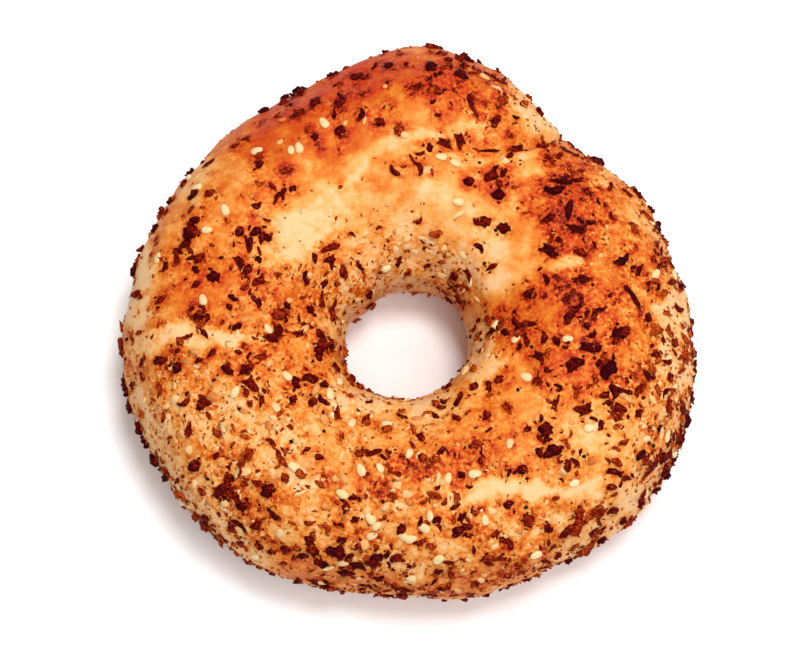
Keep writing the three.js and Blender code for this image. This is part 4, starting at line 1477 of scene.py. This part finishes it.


class BAGEL_OT_seeds(Operator):
    """Bakes on the sesame and the poppy seed"""

    bl_idname = "bagel.seeds"
    bl_label = "Seeds"

    def execute(self, context):
        seeds = context.scene.bagel.seeds
        half = sized(0.5, seeds.sesame_length, seeds.sesame_width, seeds.sesame_height)
        random = seeded(seeds.seed)
        laid = []
        for x, y, turn in PLACED_SEEDS:
            laid.append((x, y, turn, sized(random.uniform(*SEED_SIZES), *half), SEED_TOAST, 0))
        smallest, largest = (sized(grown, *half) for grown in SEED_SIZES)
        stops = ((0.0, seeds.cream), (1.0, seeds.toasted))
        skin = {"grain": 0.6 * MM, "depth": 0.08 * MM, "grit_and_glints": 0.6}
        material = topping_material("Hulled sesame", stops, roughness=0.45, gloss=0.25, **skin)
        scatter(
            context, "sesame", "sesame", seeds, [seed_mesh("seed", 0.36)], laid, coverage="seeds",
            smallest=smallest, largest=largest,
            tilt=0.25, sink=-0.2, lightest=0.0, darkest=0.8, darkening=0.4, material=material,
        )  # fmt: skip
        half = seeds.poppy_length / 2
        stops = ((0.0, seeds.poppy), (1.0, seeds.poppy))
        skin = {"grain": 0.2 * MM, "depth": 0.06 * MM}
        material = topping_material("Poppy seed", stops, roughness=0.45, gloss=0.05, **skin)
        scatter(
            context, "poppy", "poppy", seeds, [seed_mesh("grain", 0.3, rings=6, around=8)],
            coverage="seeds", density=seeds.poppy_density, spacing=3 * seeds.poppy_length,
            seed=seeds.seed + 1,
            smallest=sized(half, 0.8, 0.7, 0.7), largest=sized(half, 1, 0.85, 0.8),
            tilt=0.3, sink=-0.2, lightest=0.0, darkest=1.0, darkening=0.0, material=material,
        )  # fmt: skip
        return {"FINISHED"}


# The stain round the onion: how far it reaches, and how much harder it makes the crust look baked. It is
# strongest where the crust is plainly baked, and none where it is scorched already.
HALO_REACH = 1.15 * MM
HALO_BAKE = 0.34
HALO_GROWS = (0.25, 0.5)
HALO_FADES = (0.5, 0.9)


class BAGEL_OT_toast(Operator):
    """Stains the crust round the onion, where its sugar caught"""

    bl_idname = "bagel.toast"
    bl_label = "Toast"

    def execute(self, context):
        crust = context.scene.objects["crust"].data
        onion = context.scene.objects["onion"].data
        tree = KDTree(len(onion.vertices))
        for i, vertex in enumerate(onion.vertices):
            tree.insert(vertex.co, i)
        tree.balance()
        near = np.array([tree.find(v.co)[2] for v in crust.vertices])
        bake = np.empty(len(near), dtype=np.float32)
        crust.attributes["bake"].data.foreach_get("value", bake)
        strength = 0.5 + 0.5 * smoothstep(bake, *HALO_GROWS)
        strength *= 1 - smoothstep(bake, *HALO_FADES)
        set_attribute(crust, "halo", HALO_BAKE * strength * np.exp(-((near / HALO_REACH) ** 2)))
        return {"FINISHED"}


# ---- Panel and registration ----

STEPS = (
    BAGEL_OT_stage,
    BAGEL_OT_crust,
    BAGEL_OT_onion,
    BAGEL_OT_garlic,
    BAGEL_OT_crumbs,
    BAGEL_OT_seeds,
    BAGEL_OT_toast,
)


class BAGEL_PT_panel(Panel):
    """Lists the bagel's pieces in the sidebar."""

    bl_idname = "BAGEL_PT_panel"
    bl_label = "Seeded Bagel"
    bl_space_type = "VIEW_3D"
    bl_region_type = "UI"
    bl_category = "Bagel"

    def draw(self, context):
        for step in STEPS:
            self.layout.operator(step.bl_idname)
        for group in BAGEL_PG_settings.__annotations__:
            box = self.layout.box()
            box.label(text=group.capitalize())
            settings = getattr(context.scene.bagel, group)
            for name in settings.__annotations__:
                box.prop(settings, name)


CLASSES = (
    BAGEL_PG_dough,
    BAGEL_PG_crust,
    BAGEL_PG_onion,
    BAGEL_PG_garlic,
    BAGEL_PG_crumbs,
    BAGEL_PG_seeds,
    BAGEL_PG_stage,
    BAGEL_PG_settings,
    *STEPS,
    BAGEL_PT_panel,
)


def register():
    for cls in CLASSES:
        bpy.utils.register_class(cls)
    bpy.types.Scene.bagel = PointerProperty(type=BAGEL_PG_settings)


def unregister():
    del bpy.types.Scene.bagel
    for cls in reversed(CLASSES):
        bpy.utils.unregister_class(cls)


def main():
    register()
    for step in STEPS:
        group, name = step.bl_idname.split(".")
        getattr(getattr(bpy.ops, group), name)()


if __name__ == "__main__":
    main()
